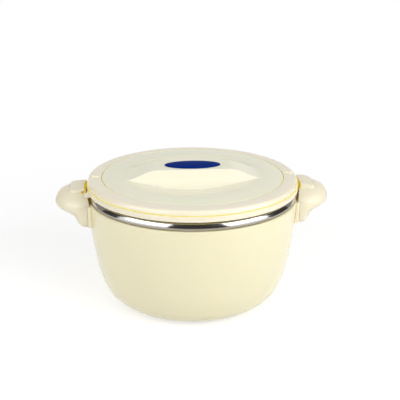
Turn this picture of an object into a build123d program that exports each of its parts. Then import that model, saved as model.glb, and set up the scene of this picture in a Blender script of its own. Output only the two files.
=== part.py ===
"""Insulated casserole with a twist-lock lid and two ear handles.

Frame: millimetres, +Z up, origin at the middle of the foot ring on the table,
+X through the right ear. The ears, caps and lid lugs repeat after half a turn about Z.
"""
import os
from math import asin, cos, degrees, radians, sin, sqrt, tan

from build123d import *

# ---- fits and clearances ----
bond_gap = 0.15            # between parts bonded or bedded in foam
seat_gap = 0.3             # radial play of parts that drop into a recess
screw_gap = 0.15           # radial play of a screw in its hole
turn_gap = 0.3             # play beside the seal ring, which the lid turns on
lid_gap = 0.6              # between the steel rim and the lid's skirt
lug_play = 0.5             # above and below a lug in its slot

# ---- outer bowl ----
bowl_radius = 110.4
bowl_rim_height = 114.0
bowl_wall = 2.5
upper_knee_height = 40.2   # where the long side arc ends
upper_knee_lean = 12.1     # degrees from upright
lower_knee_height = 19.3   # where the middle arc ends
lower_knee_lean = 24.0
bowl_base_height = 2.2     # underside of the bowl above the table
neck_step = 2.4            # collar that the steel rim folds over, in from the side
neck_wall = 2.6
neck_height = 8.2          # above the bowl's rim
shoulder_depth = 3.5

# ---- steel liner ----
foam_thickness = 9.7
sheet = 0.8
band_height = 9.4          # rim top above the bowl's rim
mouth_bend = 4.0           # radius where the inner wall turns out
band_inset = 0.4           # band in from the bowl's side
band_bend = 2.6
band_lip = 1.3             # radius of the curled lower edge
lip_clearance = 0.3        # between the curl and the bowl's rim

# ---- base ----
base_margin = 1.5          # flat of the bowl outside the base cover
cover_thickness = 2.0
foot_ring_inset = 1.0
foot_ring_width = 4.5
base_screw_inset = 23.0    # in from the cover's edge
base_screw_count = 3
base_boss_radius = 4.5
base_boss_height = 5.5
plug_radius = 6.0
plug_head_radius = 9.0
plug_head_thickness = 1.1
plug_length = 5.0

# ---- screws ----
screw_radius = 1.5
screw_head_radius = 2.9
screw_head_height = 1.4
base_screw_length = 6.5
ear_screw_length = 16.0
cap_screw_length = 8.0

# ---- lid skirt, lugs and travel ----
skirt_overhang = 0.6       # skirt out from the bowl's side
skirt_wall = 2.4
skirt_height = 5.3
flange_thickness = 2.0
lug_reach = 4.6            # out from the skirt
lug_drop = 1.1             # below the skirt
lug_thickness = 1.9
lug_root_step = 0.9        # root of the lug out from the skirt
lug_root_rise = 1.4        # root above the lug
lug_span = 6.0             # degrees
lug_start = 10.9           # degrees past the ear's centre line, lid just set on
lock_turn = 18.0           # degrees from set on to locked
slot_end_play = 0.5        # degrees

# ---- seal ring ----
seal_inset = 4.0           # in from the band's outer face
seal_width = 4.4
seal_chamfer = 0.7
seal_ceiling_gap = 0.3
seal_rib_wall = 1.4
seal_rib_depth = 2.3

# ---- lid plug and top ring ----
plug_clearance = 2.0       # between the lid's plug and the liner
plug_wall = 2.2
plug_depth = 17.3          # from the skirt's top to the underside of the lid
parting_gap = 0.6          # groove between skirt and top ring
parting_depth = 1.8
ring_inset = 0.8           # top ring in from the skirt
ring_edge = 1.3            # upright part of the ring's rim
ring_shoulder_width = 2.8
ring_shoulder_height = 4.9 # above the ring's underside
ring_width = 14.4
ring_rise = 0.7            # from the shoulder to the inner edge
ring_wall = 2.5
ledge_width = 4.0
mark_width = 3.0           # rib beside each ear
mark_height = 0.8
mark_margin = 1.2
panel_gap = 0.6            # groove round the panel
panel_wall = 2.4
panel_sink = 0.1           # panel's edge below the ring
panel_rise = 1.1
panel_slope_width = 15.2

# ---- grip and finger scoops ----
grip_margin = 24.2         # from the panel's edge to the foot of the grip
grip_ramp = 34.0           # length of each sloping end
grip_rise = 9.3            # above the panel
grip_half_width = 17.5     # at the top edge
scoop_depth = 10.0
scoop_mid_spread = 2.3     # wall out from the top edge at panel height
scoop_floor_spread = 6.5   # wall out from the top edge at the floor
scoop_edge_radius = 73.0
scoop_edge_centre = 2.5    # past the middle of the lid, away from the scoop
scoop_floor_slope = 12.4   # degrees

# ---- badge ----
badge_end_margin = 7.6
badge_side_margin = 3.7
badge_thickness = 0.5

# ---- lock caps ----
cap_half_width = 18.8
cap_side_gap = 1.5         # between the lid's skirt and the cap
cap_flat = 5.5             # level part of the top, from the ear's root
cap_slope = 5.5            # sloping part beyond it
cap_length = 17.5          # from the ear's root to the cap's outer end
cap_corner = 9.0
cap_base = 1.4             # below the slot
cap_roof = 2.1             # above the slot
cap_fall = 1.3             # drop along the slope
cap_crown = 1.1            # drop of the top towards its sides
cap_bevel_drop = 0.5       # bevel starts this far below the outer top
cap_bevel_lean = 40.0      # degrees from upright
slot_end_gap = 1.9         # beyond the lug

# ---- ears ----
ear_side_gap = 1.3         # between the lid's skirt and the ear
ear_root_step = 1.6        # where the straight sides of the plan end, out from the bowl
ear_reach = 33.3           # from the root to the outermost point
ear_half_width = 33.0
ear_height = 36.2
ear_crown_rise = 5.2       # above the cap's floor
ear_wall = 2.5
ear_bottom_round = 1.5
ear_boss_radius = 4.0
ear_screw_rise = 8.5       # above the ear's bottom
ear_screw_spread = 15.0
# plan sections as shares of height, reach and half width
ear_shape = [
    (0.000, 0.330, 0.940),
    (0.070, 0.357, 0.980),
    (0.150, 0.400, 0.993),
    (0.235, 0.462, 1.000),
    (0.305, 0.553, 1.000),
    (0.373, 0.720, 1.000),
    (0.442, 0.930, 1.000),
    (0.540, 1.000, 1.000),
    (0.663, 0.973, 0.979),
    (0.787, 0.904, 0.894),
    (0.870, 0.832, 0.773),
    (0.931, 0.745, 0.660),
    (0.972, 0.645, 0.560),
    (1.000, 0.510, 0.455),
]
hollow_shape = [
    (0.070, 0.280, 0.890),
    (0.235, 0.370, 0.910),
    (0.387, 0.530, 0.910),
    (0.442, 0.700, 0.910),
    (0.520, 0.880, 0.910),
    (0.660, 0.890, 0.890),
    (0.800, 0.800, 0.780),
]

# ---- ear brackets ----
bracket_stand = 3.9        # out from the bowl's side
bracket_drop = 1.0         # top below the bowl's rim
bracket_lift = 0.3         # bottom above the ear's bottom
bracket_half_angle = 20.9
bracket_corner = 2.5

# ---- worked out: radii ----
liner_inset = bowl_wall + foam_thickness + 2 * bond_gap
liner_radius = bowl_radius - liner_inset - sheet
neck_radius = bowl_radius - neck_step
band_radius = bowl_radius - band_inset
skirt_radius = bowl_radius + skirt_overhang
lug_inner_radius = skirt_radius - skirt_wall / 6
lug_outer_radius = skirt_radius + lug_reach
slot_outer_radius = lug_outer_radius + slot_end_gap
cap_inner_radius = skirt_radius + cap_side_gap
ear_inner_radius = skirt_radius + ear_side_gap
ear_root = bowl_radius + ear_root_step
cap_reach = ear_root + cap_length
cap_crown_radius = (cap_half_width**2 + cap_crown**2) / (2 * cap_crown)
bracket_radius = bowl_radius + bracket_stand
seal_outer_radius = band_radius - seal_inset
seal_inner_radius = seal_outer_radius - seal_width
plug_disc_radius = liner_radius - plug_clearance
ring_radius = skirt_radius - ring_inset
ring_shoulder_radius = ring_radius - ring_shoulder_width
ring_inner_radius = ring_radius - ring_width
panel_radius = ring_inner_radius - panel_gap
grip_foot = panel_radius - grip_margin
grip_flat = grip_foot - grip_ramp
badge_length = 2 * (grip_flat - badge_end_margin)
badge_width = 2 * (grip_half_width - badge_side_margin)
scoop_mid_half = grip_half_width + scoop_mid_spread
scoop_floor_half = grip_half_width + scoop_floor_spread

# ---- worked out: heights ----
recess_ceiling = bowl_base_height + cover_thickness
base_floor_top = recess_ceiling + bowl_wall
rim_top = bowl_rim_height + band_height
neck_top = min(bowl_rim_height + neck_height, rim_top - sheet - bond_gap)
skirt_bottom = rim_top + lid_gap
skirt_top = skirt_bottom + skirt_height
flange_bottom = skirt_top - flange_thickness
seal_top = flange_bottom - seal_ceiling_gap
plug_bottom = skirt_top - plug_depth
lug_bottom = skirt_bottom - lug_drop
lug_top = lug_bottom + lug_thickness
slot_floor = lug_bottom - lug_play
slot_roof = lug_top + lug_play
cap_floor = slot_floor - cap_base
cap_top = slot_roof + cap_roof
cap_screw_seat = cap_floor - 2 * ear_wall
ear_crown = cap_floor + ear_crown_rise
ear_bottom = ear_crown - ear_height
ear_screw_height = ear_bottom + ear_screw_rise
bracket_top = bowl_rim_height - bracket_drop
bracket_bottom = ear_bottom + bracket_lift
ring_bottom = skirt_top + parting_gap
ring_shoulder_top = ring_bottom + ring_shoulder_height
ring_inner_top = ring_shoulder_top + ring_rise
panel_edge_top = ring_inner_top - panel_sink
ledge_top = panel_edge_top - panel_wall
panel_top = panel_edge_top + panel_rise
grip_top = panel_top + grip_rise
scoop_floor = panel_top - scoop_depth
far = 400.0                # past everything


def section(*edges):
    """Face in the radius-height plane from joined edges."""
    return Plane.XZ * make_face(edges)


def turned(*points):
    """Solid turned about Z from (radius, height) corners."""
    return revolve(section(Polyline(*points, close=True)), axis=Axis.Z)


def ring(inner, outer, bottom, top):
    return turned((inner, bottom), (outer, bottom), (outer, top), (inner, top))


def disc(radius, bottom, top):
    return Pos(0, 0, bottom) * Cylinder(radius, top - bottom, align=(Align.CENTER, Align.CENTER, Align.MIN))


def rod_up(radius, bottom, top, x=0.0, y=0.0):
    """Cylinder along Z at (x, y)."""
    return Pos(x, y, 0) * disc(radius, bottom, top)


def rod_out(radius, start, end, y, height):
    """Cylinder along X from start to end."""
    return Pos(start, y, height) * Rot(0, 90, 0) * disc(radius, 0, end - start)


def half_turn(part):
    return Rot(0, 0, 180) * part


def arc_through(centre, radius, lean_from, lean_to):
    """Wall arc between two leans, in degrees from upright, as the wall runs down and in."""
    lean_mid = (lean_from + lean_to) / 2
    spots = []
    for lean in (lean_from, lean_mid, lean_to):
        spots.append((centre[0] + radius * cos(radians(lean)), centre[1] - radius * sin(radians(lean))))
    return ThreePointArc(*spots), spots[0], spots[2]


def side_arcs():
    """Centre and radius of the bowl's side, middle and corner arcs, top to bottom."""
    upper = radians(upper_knee_lean)
    lower = radians(lower_knee_lean)
    side = (bowl_rim_height - upper_knee_height) / sin(upper)
    middle = (upper_knee_height - lower_knee_height) / (sin(lower) - sin(upper))
    corner = (lower_knee_height - bowl_base_height) / (1 - sin(lower))
    side_centre = (bowl_radius - side, bowl_rim_height)
    middle_centre = (
        side_centre[0] + (side - middle) * cos(upper),
        side_centre[1] - (side - middle) * sin(upper),
    )
    corner_centre = (
        middle_centre[0] + (middle - corner) * cos(lower),
        middle_centre[1] - (middle - corner) * sin(lower),
    )
    return (side_centre, side), (middle_centre, middle), (corner_centre, corner)


def vessel(inset, top):
    """Solid inside the bowl's side curve moved inwards by inset, closed at height top."""
    (side_centre, side), (middle_centre, middle), (corner_centre, corner) = side_arcs()
    side_arc, side_start, _ = arc_through(side_centre, side - inset, 0, upper_knee_lean)
    middle_arc, _, _ = arc_through(middle_centre, middle - inset, upper_knee_lean, lower_knee_lean)
    corner_arc, _, corner_end = arc_through(corner_centre, corner - inset, lower_knee_lean, 90)
    edges = [
        side_arc,
        middle_arc,
        corner_arc,
        Line(corner_end, (0, corner_end[1])),
        Line((0, corner_end[1]), (0, top)),
        Line((0, top), (side_start[0], top)),
    ]
    if top > bowl_rim_height:
        edges.append(Line((side_start[0], top), side_start))
    return revolve(section(*edges), axis=Axis.Z)


# the base cover sits on the flat inside the corner arc
cover_radius = side_arcs()[2][0][0] - base_margin
recess_radius = cover_radius + seat_gap
foot_ring_radius = cover_radius - foot_ring_inset
base_screw_circle = cover_radius - base_screw_inset


def base_screw_spots():
    turn = 360 / base_screw_count
    return [
        (base_screw_circle * cos(radians(turn * i + 90)), base_screw_circle * sin(radians(turn * i + 90)))
        for i in range(base_screw_count)
    ]


def ear_screw_cuts(radius, start, end):
    """Cylinders along +X at the two ear screws."""
    return [rod_out(radius, start, end, side * ear_screw_spread, ear_screw_height) for side in (-1, 1)]


def wall_inner_x(y, height):
    """Where the bowl's inner face lies on a line along X at the given y and height."""
    _, side = side_arcs()[0]
    lean = asin((bowl_rim_height - height) / side)
    radius = bowl_radius - side * (1 - cos(lean)) - bowl_wall * cos(lean)
    return sqrt(radius**2 - y**2)


def ear_screw_seat():
    """Where an ear screw's head bears inside the bowl, clear of the wall's curve."""
    head_side = ear_screw_spread + screw_head_radius
    return wall_inner_x(head_side, ear_screw_height - screw_head_radius) - bond_gap


# ---- pot ----
def outer_bowl():
    bowl = vessel(0, bowl_rim_height) - vessel(bowl_wall, bowl_rim_height)
    shoulder_bottom = bowl_rim_height - shoulder_depth
    bowl += ring(neck_radius - neck_wall, bowl_radius - bowl_wall / 2, shoulder_bottom, bowl_rim_height)
    bowl += ring(neck_radius - neck_wall, neck_radius, shoulder_bottom, neck_top)
    bowl += disc(recess_radius + bowl_wall, recess_ceiling, base_floor_top)
    bowl -= disc(recess_radius, 0, recess_ceiling)
    for x, y in base_screw_spots():
        boss_top = base_floor_top + base_boss_height
        bowl += rod_up(base_boss_radius, base_floor_top - bowl_wall / 2, boss_top, x, y)
        bowl -= rod_up(screw_radius + screw_gap, 0, bowl_base_height + base_screw_length + 1, x, y)
    bowl -= disc(plug_radius, 0, base_floor_top + bowl_wall)
    bowl -= disc(plug_head_radius, 0, recess_ceiling + plug_head_thickness)
    for cut in ear_screw_cuts(screw_radius + screw_gap, bowl_radius / 2, far):
        bowl -= cut
        bowl -= half_turn(cut)
    return bowl


def bowl_foam():
    foam_top = bowl_rim_height + neck_height / 2
    foam = vessel(bowl_wall + bond_gap, foam_top) - vessel(liner_inset - bond_gap, foam_top + 1)
    foam -= ring(neck_radius - neck_wall - bond_gap, far, bowl_rim_height - shoulder_depth - bond_gap, far)
    foam -= disc(recess_radius + bowl_wall + bond_gap, 0, base_floor_top + bond_gap)
    foam -= disc(plug_radius + bond_gap, 0, recess_ceiling + plug_head_thickness + plug_length + bond_gap)
    for x, y in base_screw_spots():
        foam -= rod_up(base_boss_radius + bond_gap, 0, base_floor_top + base_boss_height + bond_gap, x, y)
    pocket = ear_screw_seat() - screw_head_height - 1
    for cut in ear_screw_cuts(screw_head_radius + screw_gap, pocket, far):
        foam -= cut
        foam -= half_turn(cut)
    return foam


def rim_section():
    """Folded sheet section of the liner's mouth, rim and band."""
    wall = liner_radius
    mouth = (wall + mouth_bend, rim_top - mouth_bend)
    shoulder = (band_radius - band_bend, rim_top - band_bend)
    curl = (band_radius - band_lip, bowl_rim_height + lip_clearance + band_lip)
    diagonal = sqrt(0.5)

    def bend(centre, radius, x_sign, z_sign, upright_first):
        upright = (centre[0] + x_sign * radius, centre[1])
        level = (centre[0], centre[1] + z_sign * radius)
        middle = (centre[0] + x_sign * radius * diagonal, centre[1] + z_sign * radius * diagonal)
        ends = (upright, level) if upright_first else (level, upright)
        return ThreePointArc(ends[0], middle, ends[1]), ends[0], ends[1]

    start = bowl_rim_height
    mouth_arc, mouth_low, mouth_high = bend(mouth, mouth_bend, -1, 1, True)
    crown_arc, crown_in, crown_out = bend(shoulder, band_bend, 1, 1, False)
    curl_arc, curl_high, curl_low = bend(curl, band_lip, 1, -1, True)
    back_curl, back_curl_high, back_curl_low = bend(curl, band_lip - sheet, 1, -1, True)
    back_crown, back_crown_in, back_crown_out = bend(shoulder, band_bend - sheet, 1, 1, False)
    back_mouth, back_mouth_low, back_mouth_high = bend(mouth, mouth_bend - sheet, -1, 1, True)
    return section(
        Line((wall, start), mouth_low),
        mouth_arc,
        Line(mouth_high, crown_in),
        crown_arc,
        Line(crown_out, curl_high),
        curl_arc,
        Line(curl_low, back_curl_low),
        back_curl,
        Line(back_curl_high, back_crown_out),
        back_crown,
        Line(back_crown_in, back_mouth_high),
        back_mouth,
        Line(back_mouth_low, (wall + sheet, start)),
        Line((wall + sheet, start), (wall, start)),
    )


def steel_liner():
    shell = vessel(liner_inset, bowl_rim_height) - vessel(liner_inset + sheet, bowl_rim_height)
    return shell + revolve(rim_section(), axis=Axis.Z)


def base_cover():
    cover = disc(cover_radius, bowl_base_height, recess_ceiling - bond_gap)
    cover += ring(foot_ring_radius - foot_ring_width, foot_ring_radius, 0, bowl_base_height)
    for x, y in base_screw_spots():
        cover -= rod_up(screw_radius + screw_gap, 0, far, x, y)
        cover -= rod_up(screw_head_radius + screw_gap, 0, bowl_base_height + screw_head_height / 2, x, y)
    return cover


def foam_plug():
    head_top = recess_ceiling + plug_head_thickness
    head = disc(plug_head_radius - bond_gap, recess_ceiling, head_top - bond_gap)
    return head + disc(plug_radius - bond_gap, recess_ceiling, head_top + plug_length)


def screw_up(length, x=0.0, y=0.0, seat=0.0):
    """Pan-head screw pointing up, its head seated at height seat."""
    shank = rod_up(screw_radius, seat, seat + length, x, y)
    return shank + rod_up(screw_head_radius, seat - screw_head_height, seat, x, y)


def base_screws():
    seat = bowl_base_height + screw_head_height / 2
    return [screw_up(base_screw_length, x, y, seat) for x, y in base_screw_spots()]


# ---- ears, built for the right side ----
def side_sector(radius, bottom, top, half_angle):
    """Slice of a cylinder about Z, centred on +X."""
    reach = far * cos(radians(half_angle))
    spread = far * sin(radians(half_angle))
    wedge = Polyline((0, 0), (reach, -spread), (reach, spread), close=True)
    prism = Pos(0, 0, bottom) * extrude(make_face(wedge), top - bottom)
    return prism & disc(radius, bottom, top)


def ear_bracket():
    plate = side_sector(bracket_radius, bracket_bottom, bracket_top, bracket_half_angle)
    outer_corners = plate.edges().filter_by(Axis.Z).sort_by(Axis.X)[-2:]
    plate = fillet(outer_corners, bracket_corner)
    plate -= vessel(-bond_gap, bowl_rim_height)
    for cut in ear_screw_cuts(screw_radius + screw_gap, 0, far):
        plate -= cut
    return plate


def ear_section(height_share, reach_share, width_share):
    """D-shaped plan of the ear at a share of its height."""
    height = ear_bottom + (ear_crown - ear_bottom) * height_share
    reach = ear_reach * reach_share
    half = ear_half_width * width_share
    start = ear_inner_radius - ear_half_width / 4
    plan = make_face([
        Line((start, -half), (ear_root, -half)),
        EllipticalCenterArc((ear_root, 0), reach, half, start_angle=-90, arc_size=180),
        Line((ear_root, half), (start, half)),
        Line((start, half), (start, -half)),
    ])
    return Pos(0, 0, height) * plan


def ear_loft(shape):
    return loft([ear_section(*shares) for shares in shape])


def cap_plan(grow):
    """Rectangle with rounded outer corners, seen from above."""
    half = cap_half_width + grow
    start = ear_inner_radius - ear_half_width / 4
    end = cap_reach + grow
    outline = make_face(Polyline((start, -half), (end, -half), (end, half), (start, half), close=True))
    return fillet(outline.vertices().sort_by(Axis.X)[-2:], cap_corner + grow)


def cap_screw_spots():
    x = (slot_outer_radius + cap_reach) / 2
    return [(x, side * cap_half_width / 3) for side in (-1, 1)]


def ear_shell():
    ear = ear_loft(ear_shape)
    rim = ear.faces().sort_by(Axis.Z)[0].edges()
    ear = fillet(rim, ear_bottom_round)
    hollow = ear_loft(hollow_shape)
    hollow &= disc(far, ear_bottom, cap_floor - ear_wall)
    hollow -= disc(ear_inner_radius + ear_wall, bracket_top - ear_wall, far)
    for x, y in cap_screw_spots():
        hollow -= rod_up(ear_boss_radius, cap_screw_seat, far, x, y)
    for cut in ear_screw_cuts(ear_boss_radius, 0, far):
        hollow -= cut
    ear -= hollow
    ear -= disc(ear_inner_radius, ear_bottom - 1, far)
    ear -= disc(bracket_radius + bond_gap, ear_bottom - 1, bracket_top + bond_gap)
    ear -= Pos(0, 0, cap_floor) * extrude(cap_plan(bond_gap), far)
    lug_side = Pos(0, far / 2, 0) * Box(2 * far, far, 2 * far)
    ear -= disc(lug_outer_radius + seat_gap, lug_bottom - lug_play, far) & lug_side
    for cut in ear_screw_cuts(screw_radius + screw_gap, 0, ear_screw_seat() + ear_screw_length + 1):
        ear -= cut
    for x, y in cap_screw_spots():
        ear -= rod_up(screw_radius + screw_gap, cap_screw_seat - 1, far, x, y)
    return ear


def ear_screws():
    """Two screws from inside the bowl, through the bracket, into the ear."""
    screws = []
    seat = ear_screw_seat()
    for side in (-1, 1):
        y = side * ear_screw_spread
        shank = rod_out(screw_radius, seat, seat + ear_screw_length, y, ear_screw_height)
        head = rod_out(screw_head_radius, seat - screw_head_height, seat, y, ear_screw_height)
        screws.append(shank + head)
    return screws


def slot_cut():
    """Curved slot that runs in from the cap's open end, under its roof."""
    mouth = degrees(asin(cap_half_width / cap_inner_radius)) + lug_span
    stop = lug_start - lock_turn - slot_end_play
    turn = radians(mouth), radians(stop)
    corners = [(0, 0)] + [(far * cos(angle), far * sin(angle)) for angle in turn]
    wedge = Pos(0, 0, slot_floor) * extrude(make_face(Polyline(*corners, close=True)), slot_roof - slot_floor)
    return wedge & disc(slot_outer_radius, slot_floor, slot_roof)


def lock_cap():
    flat_end = ear_root + cap_flat
    slope_end = flat_end + cap_slope
    outer_top = cap_top - cap_fall
    side = make_face([
        Line((0, 0), (0, cap_top)),
        Line((0, cap_top), (flat_end, cap_top)),
        Spline((flat_end, cap_top), (slope_end, outer_top), tangents=[(1, 0), (1, 0)]),
        Line((slope_end, outer_top), (far, outer_top)),
        Line((far, outer_top), (far, 0)),
        Line((far, 0), (0, 0)),
    ])
    # turned a little about an axis along X, so the top falls away to both sides
    crown_axis = Axis((0, 0, cap_top - cap_crown_radius), (1, 0, 0))
    sweep = 2 * degrees(asin((cap_half_width + 1) / cap_crown_radius))
    profile = (Plane.XZ * side).rotate(crown_axis, -sweep / 2)
    block = revolve(profile, axis=crown_axis, revolution_arc=sweep)
    bevel_start = outer_top - cap_bevel_drop
    sides = Pos(0, 0, cap_floor) * extrude(cap_plan(0), bevel_start - cap_floor)
    sides += Pos(0, 0, bevel_start) * extrude(cap_plan(0), cap_top - bevel_start + 1, taper=cap_bevel_lean)
    cap = block & sides
    cap -= disc(cap_inner_radius, cap_floor - 1, far)
    cap -= slot_cut()
    tip = cap_screw_seat + cap_screw_length
    for x, y in cap_screw_spots():
        cap -= rod_up(screw_radius + screw_gap, 0, tip + 2 * screw_gap, x, y)
    return cap


def cap_screws():
    return [screw_up(cap_screw_length, x, y, cap_screw_seat) for x, y in cap_screw_spots()]


# ---- lid ----
def seal_ring():
    crest = (seal_inner_radius + seal_outer_radius) / 2
    return turned(
        (seal_inner_radius + seal_chamfer, rim_top),
        (seal_outer_radius - seal_chamfer, rim_top),
        (seal_outer_radius, rim_top + seal_chamfer),
        (seal_outer_radius, seal_top - seal_chamfer),
        (crest + seal_chamfer, seal_top),
        (crest - seal_chamfer, seal_top),
        (seal_inner_radius, seal_top - seal_chamfer),
        (seal_inner_radius, rim_top + seal_chamfer),
    )


def lug():
    """One lug with a thicker root, past the right ear on the side where its slot opens."""
    slice_half = lug_span / 2
    block = side_sector(lug_outer_radius, lug_bottom, lug_top, slice_half)
    corners = block.edges().filter_by(Axis.Z).sort_by(Axis.X)[-2:]
    block = fillet(corners, lug_thickness / 2)
    block += side_sector(skirt_radius + lug_root_step, lug_bottom, lug_top + lug_root_rise, slice_half)
    block -= disc(lug_inner_radius, 0, far)
    return Rot(0, 0, lug_start + slice_half) * block


def lid_inner_cover():
    cover = ring(skirt_radius - skirt_wall, skirt_radius, skirt_bottom, skirt_top)
    cover += ring(plug_disc_radius - plug_wall, skirt_radius, flange_bottom, skirt_top)
    cover += ring(plug_disc_radius - plug_wall, plug_disc_radius, plug_bottom, skirt_top)
    cover += disc(plug_disc_radius, plug_bottom, plug_bottom + plug_wall)
    rib_in = seal_inner_radius - turn_gap
    rib_out = seal_outer_radius + turn_gap
    cover += ring(rib_in - seal_rib_wall, rib_in, flange_bottom - seal_rib_depth, skirt_top)
    cover += ring(rib_out, rib_out + seal_rib_wall, flange_bottom - seal_rib_depth, skirt_top)
    cover += lug() + half_turn(lug())
    cover -= disc(plug_disc_radius - plug_wall, plug_bottom + plug_wall, far)
    return cover


def lid_top_ring():
    edge_top = ring_bottom + ring_edge
    groove_floor = ring_radius - parting_depth
    neck_inside = groove_floor - ring_wall
    ledge_inside = ring_inner_radius - ledge_width
    ledge_bottom = ledge_top - ring_wall
    under = Polyline(
        (ring_shoulder_radius, ring_shoulder_top),
        (ring_inner_radius, ring_inner_top),
        (ring_inner_radius, ledge_top),
        (ledge_inside, ledge_top),
        (ledge_inside, ledge_bottom),
        (neck_inside, ledge_bottom),
        (neck_inside, skirt_top),
        (groove_floor, skirt_top),
        (groove_floor, ring_bottom),
        (ring_radius, ring_bottom),
        (ring_radius, edge_top),
    )
    rim = Spline(
        (ring_radius, edge_top),
        (ring_shoulder_radius, ring_shoulder_top),
        tangents=[(0, 1), (-1, 0.06)],
    )
    top_ring = revolve(section(under, rim), axis=Axis.Z)
    mark_length = ring_shoulder_radius - ring_inner_radius - 2 * mark_margin
    mark = Box(mark_length, mark_width, 2 * mark_height)
    mark = Pos((ring_inner_radius + ring_shoulder_radius) / 2, 0, ring_inner_top) * mark
    return top_ring + mark + half_turn(mark)


def grip_block(drop):
    """Raised grip between the scoops, its top lowered by drop."""
    low = panel_top - panel_wall - drop
    foot = panel_top - drop
    top = grip_top - drop
    side = make_face([
        Line((-grip_foot, low), (grip_foot, low)),
        Line((grip_foot, low), (grip_foot, foot)),
        Spline((grip_foot, foot), (grip_flat, top), tangents=[(-1, 0), (-1, 0)]),
        Line((grip_flat, top), (-grip_flat, top)),
        Spline((-grip_flat, top), (-grip_foot, foot), tangents=[(-1, 0), (-1, 0)]),
        Line((-grip_foot, foot), (-grip_foot, low)),
    ])
    return extrude(Plane.XZ * side, scoop_floor_half, both=True)


def panel_slab(drop, radius, bottom):
    """Disc with the panel's slightly crowned top, lowered by drop."""
    return turned(
        (0, bottom),
        (radius, bottom),
        (radius, panel_edge_top - drop),
        (panel_radius - panel_slope_width, panel_top - drop),
        (0, panel_top - drop),
    )


def scoop_tool(grow):
    """Space of the front finger scoop, its faces moved out by grow."""
    wall_top = -(grip_half_width - grow)
    wall_mid = -(scoop_mid_half - grow)
    wall_low = -(scoop_floor_half - grow)
    low = scoop_floor - 4 * panel_wall
    lean = (scoop_floor_half - scoop_mid_half) / (panel_top - scoop_floor)
    side = make_face([
        Line((wall_top, grip_top + far), (wall_top, grip_top)),
        ThreePointArc((wall_top, grip_top), (wall_mid, panel_top), (wall_low, scoop_floor)),
        Line((wall_low, scoop_floor), (wall_low - lean * (scoop_floor - low), low)),
        Line((wall_low - lean * (scoop_floor - low), low), (-far, low)),
        Line((-far, low), (-far, grip_top + far)),
        Line((-far, grip_top + far), (wall_top, grip_top + far)),
    ])
    outside_wall = extrude(Plane.YZ * side, grip_foot + 2 * panel_wall, both=True)
    slope = radians(scoop_floor_slope)
    edge_height = panel_top - grow / cos(slope)
    reach = scoop_edge_radius + 2 * panel_wall
    bowl = turned(
        (0, edge_height - scoop_edge_radius * tan(slope)),
        (reach, edge_height + (reach - scoop_edge_radius) * tan(slope)),
        (reach, grip_top + far),
        (0, grip_top + far),
    )
    return outside_wall & (Pos(0, scoop_edge_centre, 0) * bowl)


def carve_scoops(part, grow):
    tool = scoop_tool(grow)
    return part - tool - half_turn(tool)


def lid_panel():
    shell = panel_slab(0, panel_radius, ledge_top + bond_gap) + grip_block(0)
    shell += disc(panel_radius - ledge_width - bond_gap, scoop_floor - panel_wall, ledge_top + 1)
    shell = carve_scoops(shell, 0)
    inner_radius = panel_radius - ledge_width - bond_gap
    inside = disc(inner_radius - panel_wall, 0, ledge_top + bond_gap - 1)
    inside += panel_slab(panel_wall, inner_radius - panel_wall, 0) + grip_block(panel_wall)
    return shell - carve_scoops(inside, panel_wall)


def lid_foam():
    inner_radius = panel_radius - ledge_width - bond_gap - panel_wall - bond_gap
    drop = panel_wall + bond_gap
    foam = panel_slab(drop, inner_radius, plug_bottom + plug_wall + bond_gap)
    foam += grip_block(drop)
    return carve_scoops(foam, drop)


def lid_badge():
    plate = Ellipse(badge_length / 2, badge_width / 2)
    return Pos(0, 0, grip_top) * extrude(plate, badge_thickness)


def save(name, part):
    """Write one node. A list of solids becomes one group."""
    shape = Compound(children=part) if isinstance(part, list) else part
    export_step(shape, f"parts/{name}.step")


def build():
    os.makedirs("parts", exist_ok=True)
    save("outer_bowl", outer_bowl())
    save("bowl_foam", bowl_foam())
    save("steel_liner", steel_liner())
    save("base_cover", base_cover())
    save("foam_plug", foam_plug())
    save("base_screws", base_screws())
    bracket = ear_bracket()
    ear = ear_shell()
    cap = lock_cap()
    save("right_bracket", bracket)
    save("left_bracket", half_turn(bracket))
    save("right_ear", ear)
    save("left_ear", half_turn(ear))
    save("right_lock_cap", cap)
    save("left_lock_cap", half_turn(cap))
    save("right_ear_screws", ear_screws())
    save("left_ear_screws", [half_turn(screw) for screw in ear_screws()])
    save("right_cap_screws", cap_screws())
    save("left_cap_screws", [half_turn(screw) for screw in cap_screws()])
    save("seal_ring", seal_ring())
    save("lid_inner_cover", lid_inner_cover())
    save("lid_foam", lid_foam())
    save("lid_top_ring", lid_top_ring())
    save("lid_panel", lid_panel())
    save("lid_badge", lid_badge())


if __name__ == "__main__":
    build()
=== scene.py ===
"""Insulated casserole with a twist-lock lid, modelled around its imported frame.

Frame: metres, +Z up, origin at the middle of the foot ring on the table, +X through the right ear.
Lengths below are written in millimetres and turned to metres where a property takes them.
"""

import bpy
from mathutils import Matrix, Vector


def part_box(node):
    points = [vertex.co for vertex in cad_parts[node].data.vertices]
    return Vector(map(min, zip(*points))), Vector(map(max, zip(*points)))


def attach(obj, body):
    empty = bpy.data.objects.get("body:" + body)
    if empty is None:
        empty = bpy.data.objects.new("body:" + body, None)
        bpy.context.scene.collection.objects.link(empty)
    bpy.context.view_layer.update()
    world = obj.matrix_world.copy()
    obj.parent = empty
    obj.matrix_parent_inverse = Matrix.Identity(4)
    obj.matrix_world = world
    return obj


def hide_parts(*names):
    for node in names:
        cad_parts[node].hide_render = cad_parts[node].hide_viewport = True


bl_info = {
    "name": "Insulated Casserole",
    "version": (1, 0, 0),
    "blender": (4, 5, 0),
    "location": "3D View > Sidebar > Casserole",
    "description": "Builds an insulated casserole with a twist-lock lid, piece by piece",
    "category": "Add Mesh",
}

from math import asin, atan2, ceil, cos, degrees, hypot, pi, radians, sin, sqrt, tan

import bpy
from bpy.props import FloatProperty, FloatVectorProperty, PointerProperty
from mathutils import Matrix, Vector

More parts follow.
